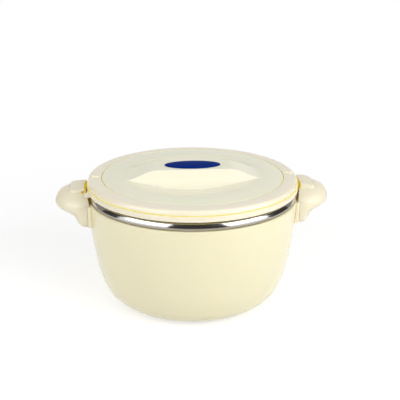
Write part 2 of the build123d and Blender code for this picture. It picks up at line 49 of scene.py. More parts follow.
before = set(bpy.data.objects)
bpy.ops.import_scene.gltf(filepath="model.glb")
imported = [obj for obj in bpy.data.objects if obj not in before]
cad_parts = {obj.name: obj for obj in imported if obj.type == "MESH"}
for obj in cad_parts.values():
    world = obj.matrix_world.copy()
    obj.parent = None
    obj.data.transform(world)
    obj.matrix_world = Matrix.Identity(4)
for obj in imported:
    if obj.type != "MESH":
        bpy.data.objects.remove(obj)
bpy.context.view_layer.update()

MM = 0.001
WELD = 0.002 * MM          # points nearer than this are one point
TURN_STEPS = 192           # faces round a turned piece
SHARP = radians(32)        # edges that turn by more than this are drawn sharp or get a bevel
NEAR = 0.1 * MM            # a face this close to a level or a wall counts as part of it
UPRIGHT = 0.5              # a face counts as upright where its normal rises or falls less than this

BOWL_LOW, BOWL_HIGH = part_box("outer_bowl")
LINER_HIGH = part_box("steel_liner")[1]
BASE_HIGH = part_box("base_cover")[1]
BRACKET_LOW, BRACKET_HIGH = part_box("right_bracket")
EAR_LOW, EAR_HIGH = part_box("right_ear")
CAP_LOW, CAP_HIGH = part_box("right_lock_cap")
SEAL_LOW, SEAL_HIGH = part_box("seal_ring")
COVER_LOW, COVER_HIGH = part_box("lid_inner_cover")
RING_LOW, RING_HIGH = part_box("lid_top_ring")
PANEL_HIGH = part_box("lid_panel")[1]
BADGE_LOW, BADGE_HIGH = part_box("lid_badge")


# ---- properties ----
def length(name, description, metres):
    """A length property. The default is in metres."""
    return FloatProperty(name=name, description=description, default=metres, unit="LENGTH", precision=4)


def angle(name, description, default_degrees):
    """An angle property."""
    default = radians(default_degrees)
    return FloatProperty(name=name, description=description, default=default, subtype="ANGLE")


def pixels(name, description, count):
    """A property counted in pixels."""
    return FloatProperty(name=name, description=description, default=count, subtype="PIXEL")


def power(name, description, watts):
    """A lamp's power."""
    return FloatProperty(name=name, description=description, default=watts, unit="POWER")


def share(name, description, default):
    """A plain number between none and full."""
    return FloatProperty(name=name, description=description, default=default, subtype="FACTOR")


def colour(name, description, hex_code):
    """A colour property."""
    limits = {"size": 4, "min": 0.0, "max": 1.0}
    default = linear(hex_code)
    return FloatVectorProperty(name=name, description=description, default=default, subtype="COLOR", **limits)


def linear(hex_code):
    """Linear RGBA of an sRGB hex colour."""
    channels = [int(hex_code[i:i + 2], 16) / 255 for i in (0, 2, 4)]
    return tuple(c / 12.92 if c <= 0.04045 else ((c + 0.055) / 1.055) ** 2.4 for c in channels) + (1.0,)


class CasserolePotSizes(bpy.types.PropertyGroup):
    """Sizes of the bowl, its liner and its base."""

    radius: length("Radius", "Outer radius of the bowl at its rim", BOWL_HIGH.x)
    wall: length("Wall", "Thickness of the moulded bowl", 2.5 * MM)
    base_height: length("Base height", "Underside of the bowl above the table", BOWL_LOW.z)
    upper_knee_height: length("Upper knee", "Height where the long side arc ends", 40.2 * MM)
    upper_knee_lean: angle("Upper lean", "Lean of the side at the upper knee", 12.1)
    lower_knee_height: length("Lower knee", "Height where the middle arc ends", 19.3 * MM)
    lower_knee_lean: angle("Lower lean", "Lean of the side at the lower knee", 24.0)
    neck_top: length("Neck top", "Top of the collar under the steel rim", 120.3 * MM)
    neck_step: length("Neck step", "Collar in from the bowl's side", 2.4 * MM)
    neck_wall: length("Neck wall", "Thickness of the collar", 2.6 * MM)
    shoulder_depth: length("Shoulder", "Depth of the shoulder below the rim", 3.5 * MM)
    edge_round: length("Edge round", "Rounding of the bowl's edges", 0.5 * MM)
    rim_top: length("Steel rim", "Top of the steel rim", LINER_HIGH.z)
    band_height: length("Steel band", "Height of the steel band above the bowl", 9.4 * MM)
    band_radius: length("Band radius", "Outer radius of the steel band", LINER_HIGH.x)
    band_bend: length("Band bend", "Radius that the band rolls over from the rim", 6.0 * MM)
    band_turn: angle("Band turn", "How far the roll goes past upright", 8.0)
    band_lip: length("Band lip", "Radius of the curled lower edge", 3.6 * MM)
    band_lip_end: angle("Band lip end", "How far the lower edge curls under", 50.0)
    mouth_bend: length("Mouth bend", "Radius where the inner wall turns out", 4.0 * MM)
    sheet: length("Steel sheet", "Thickness of the steel", 0.8 * MM)
    liner_inset: length("Liner inset", "Steel wall in from the bowl's side", 12.5 * MM)
    foot_ring_inset: length("Foot ring inset", "Foot ring in from the cover's edge", 1.0 * MM)
    foot_ring_width: length("Foot ring width", "Width of the foot ring", 4.5 * MM)
    base_edge_round: length("Base edge round", "Rounding of the base cover's edges", 0.3 * MM)
    screw_inset: length("Screw inset", "Base screws in from the cover's edge", 23.0 * MM)
    screw_radius: length("Screw radius", "Radius of a screw's shank", 1.5 * MM)
    screw_head_radius: length("Screw head", "Radius of a screw's head", 2.9 * MM)
    screw_head_height: length("Screw head height", "Height of a screw's head", 1.4 * MM)


class CasseroleEarSizes(bpy.types.PropertyGroup):
    """Sizes of the ears, their brackets and their lock caps."""

    root: length("Root", "Where the ear's oval plan starts", 112.0 * MM)
    reach: length("Reach", "From the root to the outermost point", 33.3 * MM)
    half_width: length("Half width", "Half the ear's greatest width", 33.0 * MM)
    height: length("Height", "Height of the ear's outline", 36.2 * MM)
    bottom_round: length("Bottom round", "Rounding of the lower edge", 1.5 * MM)
    edge_round: length("Edge round", "Rounding of the ear's cut edges", 0.35 * MM)
    inner_radius: length("Inner radius", "Ear's face beside the lid", 112.3 * MM)
    bracket_fit: length("Bracket fit", "Play between bracket and ear", 0.15 * MM)
    bracket_angle: angle("Bracket angle", "Half the bracket's spread", 17.5)
    bracket_corner: length("Bracket corner", "Rounding of the bracket's upright corners", 2.5 * MM)
    bracket_edge_round: length("Bracket edge round", "Rounding of the bracket's other edges", 0.6 * MM)
    cap_inner_radius: length("Cap inner radius", "Cap's face beside the lid", 113.9 * MM)
    cap_flat_end: length("Cap flat", "Where the level part of the cap's top ends", 116.0 * MM)
    cap_fall: length("Cap fall", "Drop from there to the cap's outer end", 2.1 * MM)
    cap_facet_foot: length("Cap facet foot", "Height where the sloping side ends", 123.3 * MM)
    cap_facet_slope: angle("Cap facet slope", "Slope of that side", 42.0)
    cap_mouth_foot: length("Cap mouth foot", "Height where the side over the slot's mouth ends", 126.5 * MM)
    cap_mouth_slope: angle("Cap mouth slope", "Slope of the side over the slot's mouth", 28.0)
    cap_corner: length("Cap corner", "Radius of the cap's outer corners", 9.0 * MM)
    cap_edge: length("Cap edge", "Rounding of the cap's upper edge", 0.4 * MM)
    slot_floor: length("Slot floor", "Floor of the curved slot", 122.4 * MM)
    slot_roof: length("Slot roof", "Roof of the curved slot", 125.3 * MM)
    slot_radius: length("Slot radius", "Outer wall of the curved slot", 117.5 * MM)
    slot_stop: angle("Slot stop", "Closed end of the slot past the ear's middle", 7.6)
    notch_radius: length("Notch radius", "Clearance cut that a lug passes through", 115.9 * MM)


class CasseroleLidSizes(bpy.types.PropertyGroup):
    """Sizes of the lid's covers, seal, grip and badge."""

    skirt_radius: length("Skirt radius", "Outer radius of the lid's skirt", COVER_HIGH.y)
    skirt_wall: length("Skirt wall", "Thickness of the skirt", 2.4 * MM)
    skirt_bottom: length("Skirt bottom", "Lower edge of the skirt", 124.0 * MM)
    cover_edge_round: length("Cover edge round", "Rounding of the cover's edges", 0.35 * MM)
    flange: length("Flange", "Thickness of the flange over the seal", 2.0 * MM)
    plug_radius: length("Plug radius", "Outer radius of the dish under the lid", 95.1 * MM)
    plug_wall: length("Plug wall", "Thickness of the dish", 2.2 * MM)
    plug_edge: length("Plug edge", "Rounding of the dish's lower edge", 2.0 * MM)
    rib_wall: length("Seal rib", "Thickness of the ribs beside the seal", 1.4 * MM)
    rib_depth: length("Rib depth", "Depth of the ribs below the flange", 2.3 * MM)
    rib_play: length("Rib play", "Play between a rib and the seal", 0.3 * MM)
    seal_inner: length("Seal inner radius", "Inner radius of the seal", 101.6 * MM)
    seal_chamfer: length("Seal chamfer", "Chamfers of the seal", 0.7 * MM)
    seal_edge_round: length("Seal edge round", "Rounding of the seal's edges", 0.25 * MM)
    lug_inner: length("Lug inner radius", "Where a lug meets the skirt", 110.6 * MM)
    lug_outer: length("Lug outer radius", "Reach of a lug", 115.6 * MM)
    lug_bottom: length("Lug bottom", "Underside of a lug", 122.9 * MM)
    lug_top: length("Lug top", "Top of a lug", 124.8 * MM)
    lug_root: length("Lug root radius", "Thicker root of a lug", 111.9 * MM)
    lug_root_top: length("Lug root top", "Top of a lug's root", 126.2 * MM)
    lug_start: angle("Lug start", "Near end of a lug past the ear's middle", 10.9)
    lug_span: angle("Lug span", "Length of a lug round the lid", 6.0)
    ring_bottom: length("Ring bottom", "Underside of the top ring's rim", 129.9 * MM)
    ring_edge: length("Ring edge", "Upright part of the top ring's rim", 1.3 * MM)
    ring_shoulder_width: length("Shoulder width", "Width of the ring's rounded shoulder", 2.8 * MM)
    ring_shoulder_top: length("Shoulder top", "Top of the ring's shoulder", 134.8 * MM)
    ring_inner: length("Ring inner radius", "Inner edge of the ring's top", 95.8 * MM)
    ring_inner_top: length("Ring inner top", "Height of the ring's inner edge", 135.5 * MM)
    ring_wall: length("Ring wall", "Thickness of the ring", 2.5 * MM)
    ring_edge_round: length("Ring edge round", "Rounding of the ring's edges", 0.3 * MM)
    ledge_width: length("Ledge width", "Ledge that the panel rests on", 4.0 * MM)
    parting_depth: length("Parting depth", "Depth of the groove under the ring", 1.8 * MM)
    mark_width: length("Mark width", "Width of the rib beside each ear", 3.0 * MM)
    mark_margin: length("Mark margin", "Rib's ends in from the ring's edges", 1.2 * MM)
    mark_edge_round: length("Mark edge round", "Rounding of the rib's edges", 0.35 * MM)
    panel_wall: length("Panel wall", "Thickness of the panel", 2.4 * MM)
    panel_edge_top: length("Panel edge", "Height of the panel at its edge", 135.4 * MM)
    panel_edge_round: length("Panel edge round", "Rounding of the panel's edge", 0.5 * MM)
    panel_top: length("Panel top", "Height of the panel's middle", 136.5 * MM)
    panel_slope_width: length("Panel slope", "Width of the sloping outer part", 15.2 * MM)
    grip_flat: length("Grip flat", "Half length of the grip's level part", 37.0 * MM)
    grip_foot: length("Grip foot", "Half length of the grip at its foot", 71.0 * MM)
    grip_half_width: length("Grip half width", "Half width of the grip's top", 17.5 * MM)
    scoop_depth: length("Scoop depth", "Depth of the finger scoops below the panel", 10.0 * MM)
    scoop_reach: length("Scoop reach", "How far from the middle the scoops go", 75.0 * MM)
    scoop_mid_spread: length("Scoop middle", "Wall out from the top edge at panel height", 2.3 * MM)
    scoop_floor_spread: length("Scoop floor", "Wall out from the top edge at the floor", 6.5 * MM)
    scoop_edge_radius: length("Scoop radius", "Radius of the scoop's near edge", 73.0 * MM)
    scoop_edge_centre: length("Scoop centre", "Centre of that edge past the lid's middle", 2.5 * MM)
    scoop_floor_slope: angle("Scoop slope", "Slope of the scoop's floor", 12.4)
    crest_round: length("Crest round", "Rounding of the grip's long edges", 5.0 * MM)
    badge_edge: length("Badge edge", "Rounding of the badge's edge", 0.18 * MM)


class CasseroleColours(bpy.types.PropertyGroup):
    """Colours of the mouldings, the steel and the badge, and the painted light and shade beside grooves,
    recesses and the steel's lower edge.
    """

    cream: colour("Cream", "Polypropylene of the bowl and its base", "F4EDCB")
    cream_deep: colour("Deep cream", "The same where it is thicker or in its flow marks", "F1E9C4")
    pale: colour("Pale cream", "Polypropylene of the ears and their caps", "F4ECD3")
    pale_deep: colour("Deep pale cream", "The same in its flow marks", "F1E8CC")
    lid: colour("Lid cream", "Polypropylene of the lid's cover and top ring", "FBF2DB")
    lid_deep: colour("Deep lid cream", "The same in its flow marks", "F8EED4")
    panel: colour("Panel", "Polypropylene of the lid's panel", "F7F5DB")
    panel_deep: colour("Deep panel", "The same in its flow marks", "F3F1D4")
    # scoop is painted light: a paler tone than the panel's for the light on the grip's walls and the scoops'
    # floors
    scoop: colour("Scoop", "Plastic of the finger scoops, lit through its thinner walls", "F9F5E2")
    scoop_deep: colour("Deep scoop", "The same in its flow marks", "F7F2DC")
    # groove, recess, seam, recess shade and underside are painted light and shade: with their painted glow
    # they stand in for the light that comes through thin plastic and for the shade between parts
    groove: colour("Groove", "Thin plastic edges that light comes through", "E8DF84")
    recess: colour("Recess", "Lock cap's wall beside the lid, lit through", "DFCA3C")
    seam: colour("Seam", "Bracket's edge beside the bowl, lit through", "F3EACB")
    recess_shade: colour("Recess shade", "Ear's wall beside the lid, in shade", "D8B448")
    underside_painted_shade: colour("Underside", "Lower edge of the lid's skirt, in half shade", "D9C684")
    steel: colour("Steel", "Polished stainless sheet", "D9D8D6")
    # steel edge is a painted reflection: a darker grey for what the band's curled lower edge mirrors
    steel_edge_painted_reflection: colour("Steel edge", "Satin lower edge of the steel band", "A69F92")
    blue: colour("Blue", "Badge", "042C84")
    silicone: colour("Silicone", "Seal ring", "E4E2DA")
    foam: colour("Foam", "Insulating foam", "E8D49A")
    zinc: colour("Zinc", "Plated screws", "B4B4AE")


class CasseroleStage(bpy.types.PropertyGroup):
    """Camera and light."""

    camera_distance: length("Camera distance", "From the lid's groove to the camera", 0.770)
    camera_elevation: angle("Camera elevation", "Camera above the lid's groove", 18.098)
    camera_pitch: angle("Camera pitch", "Camera turned down past the lid's middle", 1.617)
    camera_turn: angle("Camera turn", "Camera round towards the left ear", 3.8)
    focal_pixels: pixels("Focal length", "Focal length in pixels of the frame", 726.0)
    middle_pixel: pixels("Middle column", "Column of the lid's axis", 192.5)
    frame_pixels: pixels("Frame", "Width of the frame that these pixels belong to", 400.0)
    floor: colour("Floor", "Pale floor", "D6D6D6")
    floor_size: length("Floor size", "Side of the floor", 12.0)
    floor_lift: share("Floor lift", "Added where the floor is seen", 0.55)
    fade_start: length("Fade start", "From the object to where the floor begins to go white", 0.25)
    fade_end: length("Fade end", "From the object to where the floor is white", 0.6)
    ambient: share("Ambient", "Light from all round", 0.42)
    box_distance: length("Soft box distance", "From the object to a soft box", 1.2)
    box_height: length("Soft box height", "Height of a soft box", 0.8)
    box_elevation: angle("Soft box elevation", "Middle of a soft box above the object", 22)
    right_box_turn: angle("Right box turn", "Right soft box from the front", 52)
    right_box_width: length("Right box width", "Width of the right soft box", 1.1)
    right_box_power: power("Right box power", "Power of the right soft box", 9.8)
    left_box_turn: angle("Left box turn", "Left soft box from the front", -52)
    left_box_width: length("Left box width", "Width of the left soft box", 1.0)
    left_box_power: power("Left box power", "Power of the left soft box", 6.1)
    front_card_start: angle("Front card start", "Left side of the front card", -27)
    front_card_end: angle("Front card end", "Right side of the front card", 30)
    right_card_start: angle("Right card start", "Near side of the right card", 77)
    right_card_end: angle("Right card end", "Far side of the right card", 110)
    left_card_start: angle("Left card start", "Far side of the left card", -106)
    left_card_end: angle("Left card end", "Near side of the left card", -82)
    right_grey_end: angle("Right grey card end", "Far side of the right grey card", 142)
    left_grey_start: angle("Left grey card start", "Far side of the left grey card", -140)


# ---- modelling ----
def select_only(piece):
    """Leave edit mode and select one piece."""
    if bpy.context.object and bpy.context.object.mode != "OBJECT":
        bpy.ops.object.mode_set(mode="OBJECT")
    bpy.ops.object.select_all(action="DESELECT")
    piece.select_set(True)
    bpy.context.view_layer.objects.active = piece


def new_piece(name, add_primitive, **settings):
    """Add a primitive at the origin under its own name."""
    bpy.ops.object.select_all(action="DESELECT")
    add_primitive(**settings)
    piece = bpy.context.object
    piece.name = piece.data.name = name
    return piece


def arc(centre, radius, start, end, steps=8):
    """(radius, height) points on an arc between two angles in degrees, counted from outwards to up."""
    turns = [radians(start + (end - start) * i / steps) for i in range(steps + 1)]
    return [(centre[0] + radius * cos(turn), centre[1] + radius * sin(turn)) for turn in turns]


def draw_points(name, points):
    """New piece in edit mode: a closed outline through the points."""
    piece = new_piece(name, bpy.ops.mesh.primitive_plane_add, size=0.01)
    bpy.ops.object.mode_set(mode="EDIT")
    bpy.ops.mesh.select_mode(type="VERT")
    bpy.ops.mesh.select_all(action="SELECT")
    bpy.ops.mesh.merge(type="CENTER")
    bpy.ops.transform.translate(value=points[0])
    for start, end in zip(points, points[1:] + points[:1]):
        bpy.ops.mesh.extrude_region_move(TRANSFORM_OT_translate={"value": end - start})
    bpy.ops.mesh.select_all(action="SELECT")
    bpy.ops.mesh.remove_doubles(threshold=WELD)
    return piece


def draw_outline(name, outline, turn=0.0):
    """Closed outline of (radius, height) points on the half plane at that turn, in edit mode."""
    return draw_points(name, [Vector((r * cos(turn), r * sin(turn), z)) for r, z in outline])


def close_up():
    """Weld what touches, drop the loose edge on the axis, point the faces outwards and leave edit mode."""
    bpy.ops.mesh.select_all(action="SELECT")
    bpy.ops.mesh.remove_doubles(threshold=WELD)
    bpy.ops.mesh.delete_loose(use_verts=True, use_edges=True, use_faces=False)
    bpy.ops.mesh.select_all(action="SELECT")
    bpy.ops.mesh.normals_make_consistent(inside=False)
    bpy.ops.object.mode_set(mode="OBJECT")
    piece = bpy.context.object
    if not piece.data.polygons:
        raise RuntimeError(f"{piece.name} has no faces")


def turned(name, outline, steps=TURN_STEPS):
    """Piece turned all round from a closed outline."""
    piece = draw_outline(name, outline)
    bpy.ops.mesh.spin(steps=steps, angle=2 * pi, center=(0, 0, 0), axis=(0, 0, 1))
    close_up()
    return piece


def swept(name, outline, start, end):
    """Piece spun from a filled outline through part of a turn. The spin tool turns clockwise."""
    piece = draw_outline(name, outline, turn=end)
    bpy.ops.mesh.edge_face_add()
    steps = max(2, ceil((end - start) / (2 * pi) * TURN_STEPS))
    bpy.ops.mesh.spin(steps=steps, angle=end - start, center=(0, 0, 0), axis=(0, 0, 1))
    close_up()
    return piece


def prism(name, plan, bottom, top):
    """Piece extruded upwards from a filled plan of (x, y) points."""
    piece = draw_points(name, [Vector((x, y, bottom)) for x, y in plan])
    bpy.ops.mesh.edge_face_add()
    bpy.ops.mesh.extrude_region_move(TRANSFORM_OT_translate={"value": (0, 0, top - bottom)})
    close_up()
    return piece


def rectangle(inner, outer, bottom, top):
    """Outline of a square-edged ring."""
    return [(inner, bottom), (outer, bottom), (outer, top), (inner, top)]


def modify(piece, kind, **settings):
    """Add a modifier and apply it."""
    select_only(piece)
    modifier = piece.modifiers.new(kind.title(), kind)
    for key, value in settings.items():
        setattr(modifier, key, value)
    bpy.ops.object.modifier_apply(modifier=modifier.name)


def combine(piece, tool, operation="DIFFERENCE"):
    """Cut a tool piece out of a piece, or join it on, and delete the tool."""
    modify(piece, "BOOLEAN", object=tool, operation=operation, solver="EXACT")
    bpy.data.objects.remove(tool)


def soften(piece, width, segments=3):
    """Round the sharp edges and shade the rest smooth."""
    if width > 0:
        modify(piece, "BEVEL", width=width, segments=segments, limit_method="ANGLE", angle_limit=SHARP)
    select_only(piece)
    bpy.ops.object.shade_smooth_by_angle(angle=SHARP)


def half_turned(piece, name):
    """Copy with its own mesh, half a turn round Z."""
    copy = piece.copy()
    copy.data = piece.data.copy()
    copy.name = copy.data.name = name
    bpy.context.scene.collection.objects.link(copy)
    copy.data.transform(Matrix.Rotation(pi, 4, "Z"))
    return copy


def moulded_sheet(name, rows, columns, span, height):
    """Piece with one face sheet: rows at the given y, columns at shares of each row's span in x."""
    piece = new_piece(
        name,
        bpy.ops.mesh.primitive_grid_add,
        x_subdivisions=len(columns) - 1,
        y_subdivisions=len(rows) - 1,
        size=2,
    )
    for vertex in piece.data.vertices:
        column = columns[round((vertex.co.x + 1) / 2 * (len(columns) - 1))]
        y = rows[round((vertex.co.y + 1) / 2 * (len(rows) - 1))]
        low, high = span(y)
        x = low + (high - low) * column
        vertex.co = (x, y, height(x, y))
    return piece


def extrude_down(piece, bottom):
    """Carry the open edge of a sheet down to a level and close it with a flat face."""
    select_only(piece)
    bpy.ops.object.mode_set(mode="EDIT")
    bpy.ops.mesh.select_mode(type="VERT")
    bpy.ops.mesh.select_all(action="DESELECT")
    bpy.ops.mesh.select_non_manifold()
    bpy.ops.mesh.extrude_region_move()
    bpy.ops.transform.resize(value=(1, 1, 0), center_override=(0, 0, bottom))
    bpy.ops.mesh.edge_face_add()
    close_up()


def even(start, end, count):
    """Values from start to end in count equal steps."""
    return [start + (end - start) * i / count for i in range(count + 1)]


def mirrored(values):
    """Rising list of values and their negatives."""
    return sorted({-v for v in values} | set(values))


def smooth_step(value):
    """Rise from 0 to 1 without a corner."""
    value = min(max(value, 0.0), 1.0)
    return value * value * (3 - 2 * value)


def smooth_min(a, b, reach):
    """Lesser of two heights, blended where they differ by less than reach."""
    overlap = max(reach - abs(a - b), 0.0) / reach
    return min(a, b) - overlap * overlap * reach / 4


def smooth_max(a, b, reach):
    """Greater of two heights, blended in the same way."""
    return -smooth_min(-a, -b, reach)


def edge_drop(inside, radius):
    """Drop of a rounded edge at a distance inside it."""
    if inside >= radius:
        return 0.0
    return radius - sqrt(max(radius**2 - (radius - max(inside, 0.0)) ** 2, 0.0))


def from_axis(centre):
    """Distance of a face's centre from the lid's axis."""
    return hypot(centre.x, centre.y)


def facing_out(centre, normal):
    """1 where a face looks straight away from the axis, -1 where it looks straight at it."""
    return normal.dot(Vector((centre.x, centre.y, 0)).normalized())


def place(piece, body, material, nodes, finishes=()):
    """Give a piece its material, and let it ride on its body in place of the frame's nodes.

    A finish is another material and a test of a face's centre and normal. The first that fits is used.
    """
    piece.data.materials.clear()
    for finish in (material, *(other for other, fits in finishes)):
        piece.data.materials.append(finish)
    for face in piece.data.polygons:
        numbers = [i for i, (other, fits) in enumerate(finishes, 1) if fits(face.center, face.normal)]
        face.material_index = numbers[0] if numbers else 0
    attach(piece, body)
    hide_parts(*nodes)


def place_pair(right, left_name, kind, material, finishes):
    """Place a right-hand piece on the pot, and a copy of it half a turn round on the left."""
    left = half_turned(right, left_name)
    for piece, side in ((right, "right"), (left, "left")):
        place(piece, "pot", material, [f"{side}_{kind}"], finishes)


# ---- materials ----
# roughness of each surface, where its polish is best and where it is worst
MIRROR_GLOSS = (0.07, 0.12)
GLOSS = (0.12, 0.18)
SOFT_GLOSS = (0.14, 0.2)
SATIN = (0.28, 0.36)
BUFFED = (0.08, 0.16)
ROLLED_EDGE = (0.3, 0.4)
RUBBER = (0.42, 0.6)
PLATED = (0.28, 0.5)
# painted glow, in place of the light that comes through thin plastic and between parts, where it is thickest
# and where it is thinnest
EDGE_GLOW = (0.16, 0.24)
RECESS_GLOW = (0.2, 0.28)
SHADED_GLOW = (0.12, 0.17)
SEAM_GLOW = (0.09, 0.12)
UNDERSIDE_GLOW = (0.03, 0.06)
POLYPROPYLENE_IOR = 1.49
SILICONE_IOR = 1.41


def add_node(tree, kind, inputs=None, **settings):
    """Add a shader node. Inputs take a value, or the output socket to link from."""
    node = tree.nodes.new(f"ShaderNode{kind}")
    for key, value in settings.items():
        setattr(node, key, value)
    for socket, value in (inputs or {}).items():
        if isinstance(value, bpy.types.NodeSocket):
            tree.links.new(value, node.inputs[socket])
        else:
            node.inputs[socket].default_value = value
    return node


def start_material(name):
    """Material of that name, emptied, with its node tree and the place on the object as coordinates."""
    material = bpy.data.materials.get(name) or bpy.data.materials.new(name)
    material.use_nodes = True
    tree = material.node_tree
    tree.nodes.clear()
    return material, tree, add_node(tree, "TexCoord").outputs["Object"]


def end_material(material, shader):
    """Link the shader to the material's output, and return the material."""
    add_node(material.node_tree, "OutputMaterial", {"Surface": shader.outputs[0]})
    return material


def drift(tree, place_on, patch, levels, detail=2.0):
    """Value that drifts between two levels over patches of a real size."""
    clouds = add_node(tree, "TexNoise", {"Vector": place_on, "Scale": 1 / patch, "Detail": detail})
    span = {"Value": clouds.outputs["Fac"], "To Min": levels[0], "To Max": levels[1]}
    return add_node(tree, "MapRange", span).outputs["Result"]


def clouded(tree, place_on, patch, main, deep):
    """Colour that drifts between two over patches of a real size."""
    clouds = add_node(tree, "TexNoise", {"Vector": place_on, "Scale": 1 / patch, "Detail": 2.0})
    colours = {"Factor": clouds.outputs["Fac"], "A": main, "B": deep}
    return add_node(tree, "Mix", colours, data_type="RGBA").outputs["Result"]


def darker(base, part):
    """Colour with that part of its light."""
    return [channel * part for channel in base[:3]] + [1.0]


def moulded_polypropylene(name, main, deep, finish):
    """Injection-moulded polypropylene: waxy, a little light comes through, faint flow clouds."""
    material, tree, place_on = start_material(name)
    # orange peel of about 1.2 mm, drawn coarser than the real 0.3 mm so that it shows
    peel = add_node(tree, "TexNoise", {"Vector": place_on, "Scale": 1 / (1.2 * MM), "Detail": 2.0})
    relief = {"Height": peel.outputs["Fac"], "Distance": 0.03 * MM, "Strength": 0.12}
    surface = {
        # flow clouds about 60 mm across shift the cream very slightly
        "Base Color": clouded(tree, place_on, 60 * MM, main, deep),
        # the mould's polish varies over about 15 mm
        "Roughness": drift(tree, place_on, 15 * MM, finish, detail=3.0),
        "Normal": add_node(tree, "Bump", relief).outputs["Normal"],
        "IOR": POLYPROPYLENE_IOR,
        # light goes up to 2.5 mm into the cream, its blue part the least far
        "Subsurface Weight": 0.12,
        "Subsurface Radius": (1.0, 0.8, 0.35),
        "Subsurface Scale": 2.5 * MM,
    }
    return end_material(material, add_node(tree, "BsdfPrincipled", surface))


def bowl_plastic(colours):
    """Bowl and base: a polished mould."""
    return moulded_polypropylene("Moulded_Polypropylene_Cream", colours.cream, colours.cream_deep, GLOSS)


def ear_plastic(colours):
    """Ears, their caps and their brackets: a duller mould."""
    return moulded_polypropylene("Moulded_Polypropylene_Satin", colours.pale, colours.pale_deep, SATIN)


def lid_plastic(colours):
    """Lid's cover and top ring: the best polished mould."""
    return moulded_polypropylene("Moulded_Polypropylene_Pale", colours.lid, colours.lid_deep, MIRROR_GLOSS)


def panel_plastic(colours):
    """Lid's panel: a softer polish."""
    return moulded_polypropylene("Moulded_Polypropylene_Panel", colours.panel, colours.panel_deep, SOFT_GLOSS)


def scoop_painted_light_plastic(colours):
    """The same in the finger scoops, painted a little paler: painted light on their walls and floor."""
    return moulded_polypropylene("Moulded_Polypropylene_Scoop_Painted_Light", colours.scoop, colours.scoop_deep, SOFT_GLOSS)


def painted_light_plastic(name, base, glow):
    """Painted light and shade beside a recess: a colour and a glow that stand in for the light that comes
    through thin polypropylene, a deep yellow, and for the shade there.
    """
    material, tree, place_on = start_material(name)
    surface = {
        "Base Color": base,
        "Roughness": 0.4,
        "IOR": POLYPROPYLENE_IOR,
        "Emission Color": base,
        # the painted glow drifts a little over about 8 mm
        "Emission Strength": drift(tree, place_on, 8 * MM, glow),
    }
    return end_material(material, add_node(tree, "BsdfPrincipled", surface))


def painted_glow_edge(colours):
    """Edges and ledges along the grooves of the lid."""
    return painted_light_plastic("Polypropylene_Edge_Painted_Glow", colours.groove, EDGE_GLOW)


def painted_glow_recess(colours):
    """Walls between ear, cap and lid."""
    return painted_light_plastic("Polypropylene_Recess_Painted_Glow", colours.recess, RECESS_GLOW)


def polished_stainless(name, base, finish):
    """Deep-drawn stainless sheet, buffed: mirror-like where it is bright, with faint lines round the turn."""
    material, tree, place_on = start_material(name)
    # buffing lines run round the axis, so they vary with radius and height only, about 0.5 mm apart
    parts = add_node(tree, "SeparateXYZ", {"Vector": place_on}).outputs
    squares = [add_node(tree, "Math", {0: parts[axis], 1: 2.0}, operation="POWER") for axis in ("X", "Y")]
    sides = {0: squares[0].outputs[0], 1: squares[1].outputs[0]}
    total = add_node(tree, "Math", sides, operation="ADD")
    radius = add_node(tree, "Math", {0: total.outputs[0]}, operation="SQRT")
    round_axis = add_node(tree, "CombineXYZ", {"X": radius.outputs[0], "Z": parts["Z"]})
    pattern = {"Vector": round_axis.outputs[0], "Scale": 1 / (0.5 * MM), "Detail": 3.0}
    lines = add_node(tree, "TexNoise", pattern).outputs["Fac"]
    levels = {"Value": lines, "To Min": finish[0], "To Max": finish[1]}
    relief = {"Height": lines, "Distance": 0.01 * MM, "Strength": 0.15}
    surface = {
        "Base Color": base,
        "Metallic": 1.0,
        "Roughness": add_node(tree, "MapRange", levels).outputs["Result"],
        "Normal": add_node(tree, "Bump", relief).outputs["Normal"],
    }
    return end_material(material, add_node(tree, "BsdfPrincipled", surface))


def printed_label(name, base):
    """Plastic plate printed in a deep ink that hardly mirrors anything."""
    material, tree, place_on = start_material(name)
    surface = {
        # the print varies very slightly over a few millimetres
        "Base Color": clouded(tree, place_on, 4 * MM, base, darker(base, 0.88)),
        "Roughness": 0.38,
        "Specular IOR Level": 0.003,
    }
    return end_material(material, add_node(tree, "BsdfPrincipled", surface))


def moulded_silicone(name, base):
    """Milky silicone rubber: soft sheen, light comes through."""
    material, tree, place_on = start_material(name)
    surface = {
        "Base Color": base,
        # a trace of dust in spots of about 3 mm
        "Roughness": drift(tree, place_on, 3 * MM, RUBBER, detail=4.0),
        "IOR": SILICONE_IOR,
        "Subsurface Weight": 0.3,
        "Subsurface Radius": (1.0, 0.95, 0.85),
        "Subsurface Scale": 3 * MM,
    }
    return end_material(material, add_node(tree, "BsdfPrincipled", surface))


def poured_foam(name, base):
    """Rigid polyurethane foam: matt yellow, with closed cells drawn at 1.5 mm."""
    material, tree, place_on = start_material(name)
    cells = add_node(tree, "TexVoronoi", {"Vector": place_on, "Scale": 1 / (1.5 * MM)}).outputs["Distance"]
    walls = {"Factor": cells, "A": base, "B": darker(base, 0.7)}
    relief = {"Height": cells, "Distance": 0.4 * MM, "Strength": 0.6}
    surface = {
        "Base Color": add_node(tree, "Mix", walls, data_type="RGBA").outputs["Result"],
        "Roughness": 0.9,
        "Normal": add_node(tree, "Bump", relief).outputs["Normal"],
    }
    return end_material(material, add_node(tree, "BsdfPrincipled", surface))


def zinc_plate(colours):
    """Zinc-plated steel of the screws: grey metal, cloudy over about 1 mm."""
    material, tree, place_on = start_material("Zinc_Plated_Steel")
    surface = {
        "Base Color": colours.zinc,
        "Metallic": 1.0,
        "Roughness": drift(tree, place_on, 1.0 * MM, PLATED, detail=3.0),
    }
    return end_material(material, add_node(tree, "BsdfPrincipled", surface))


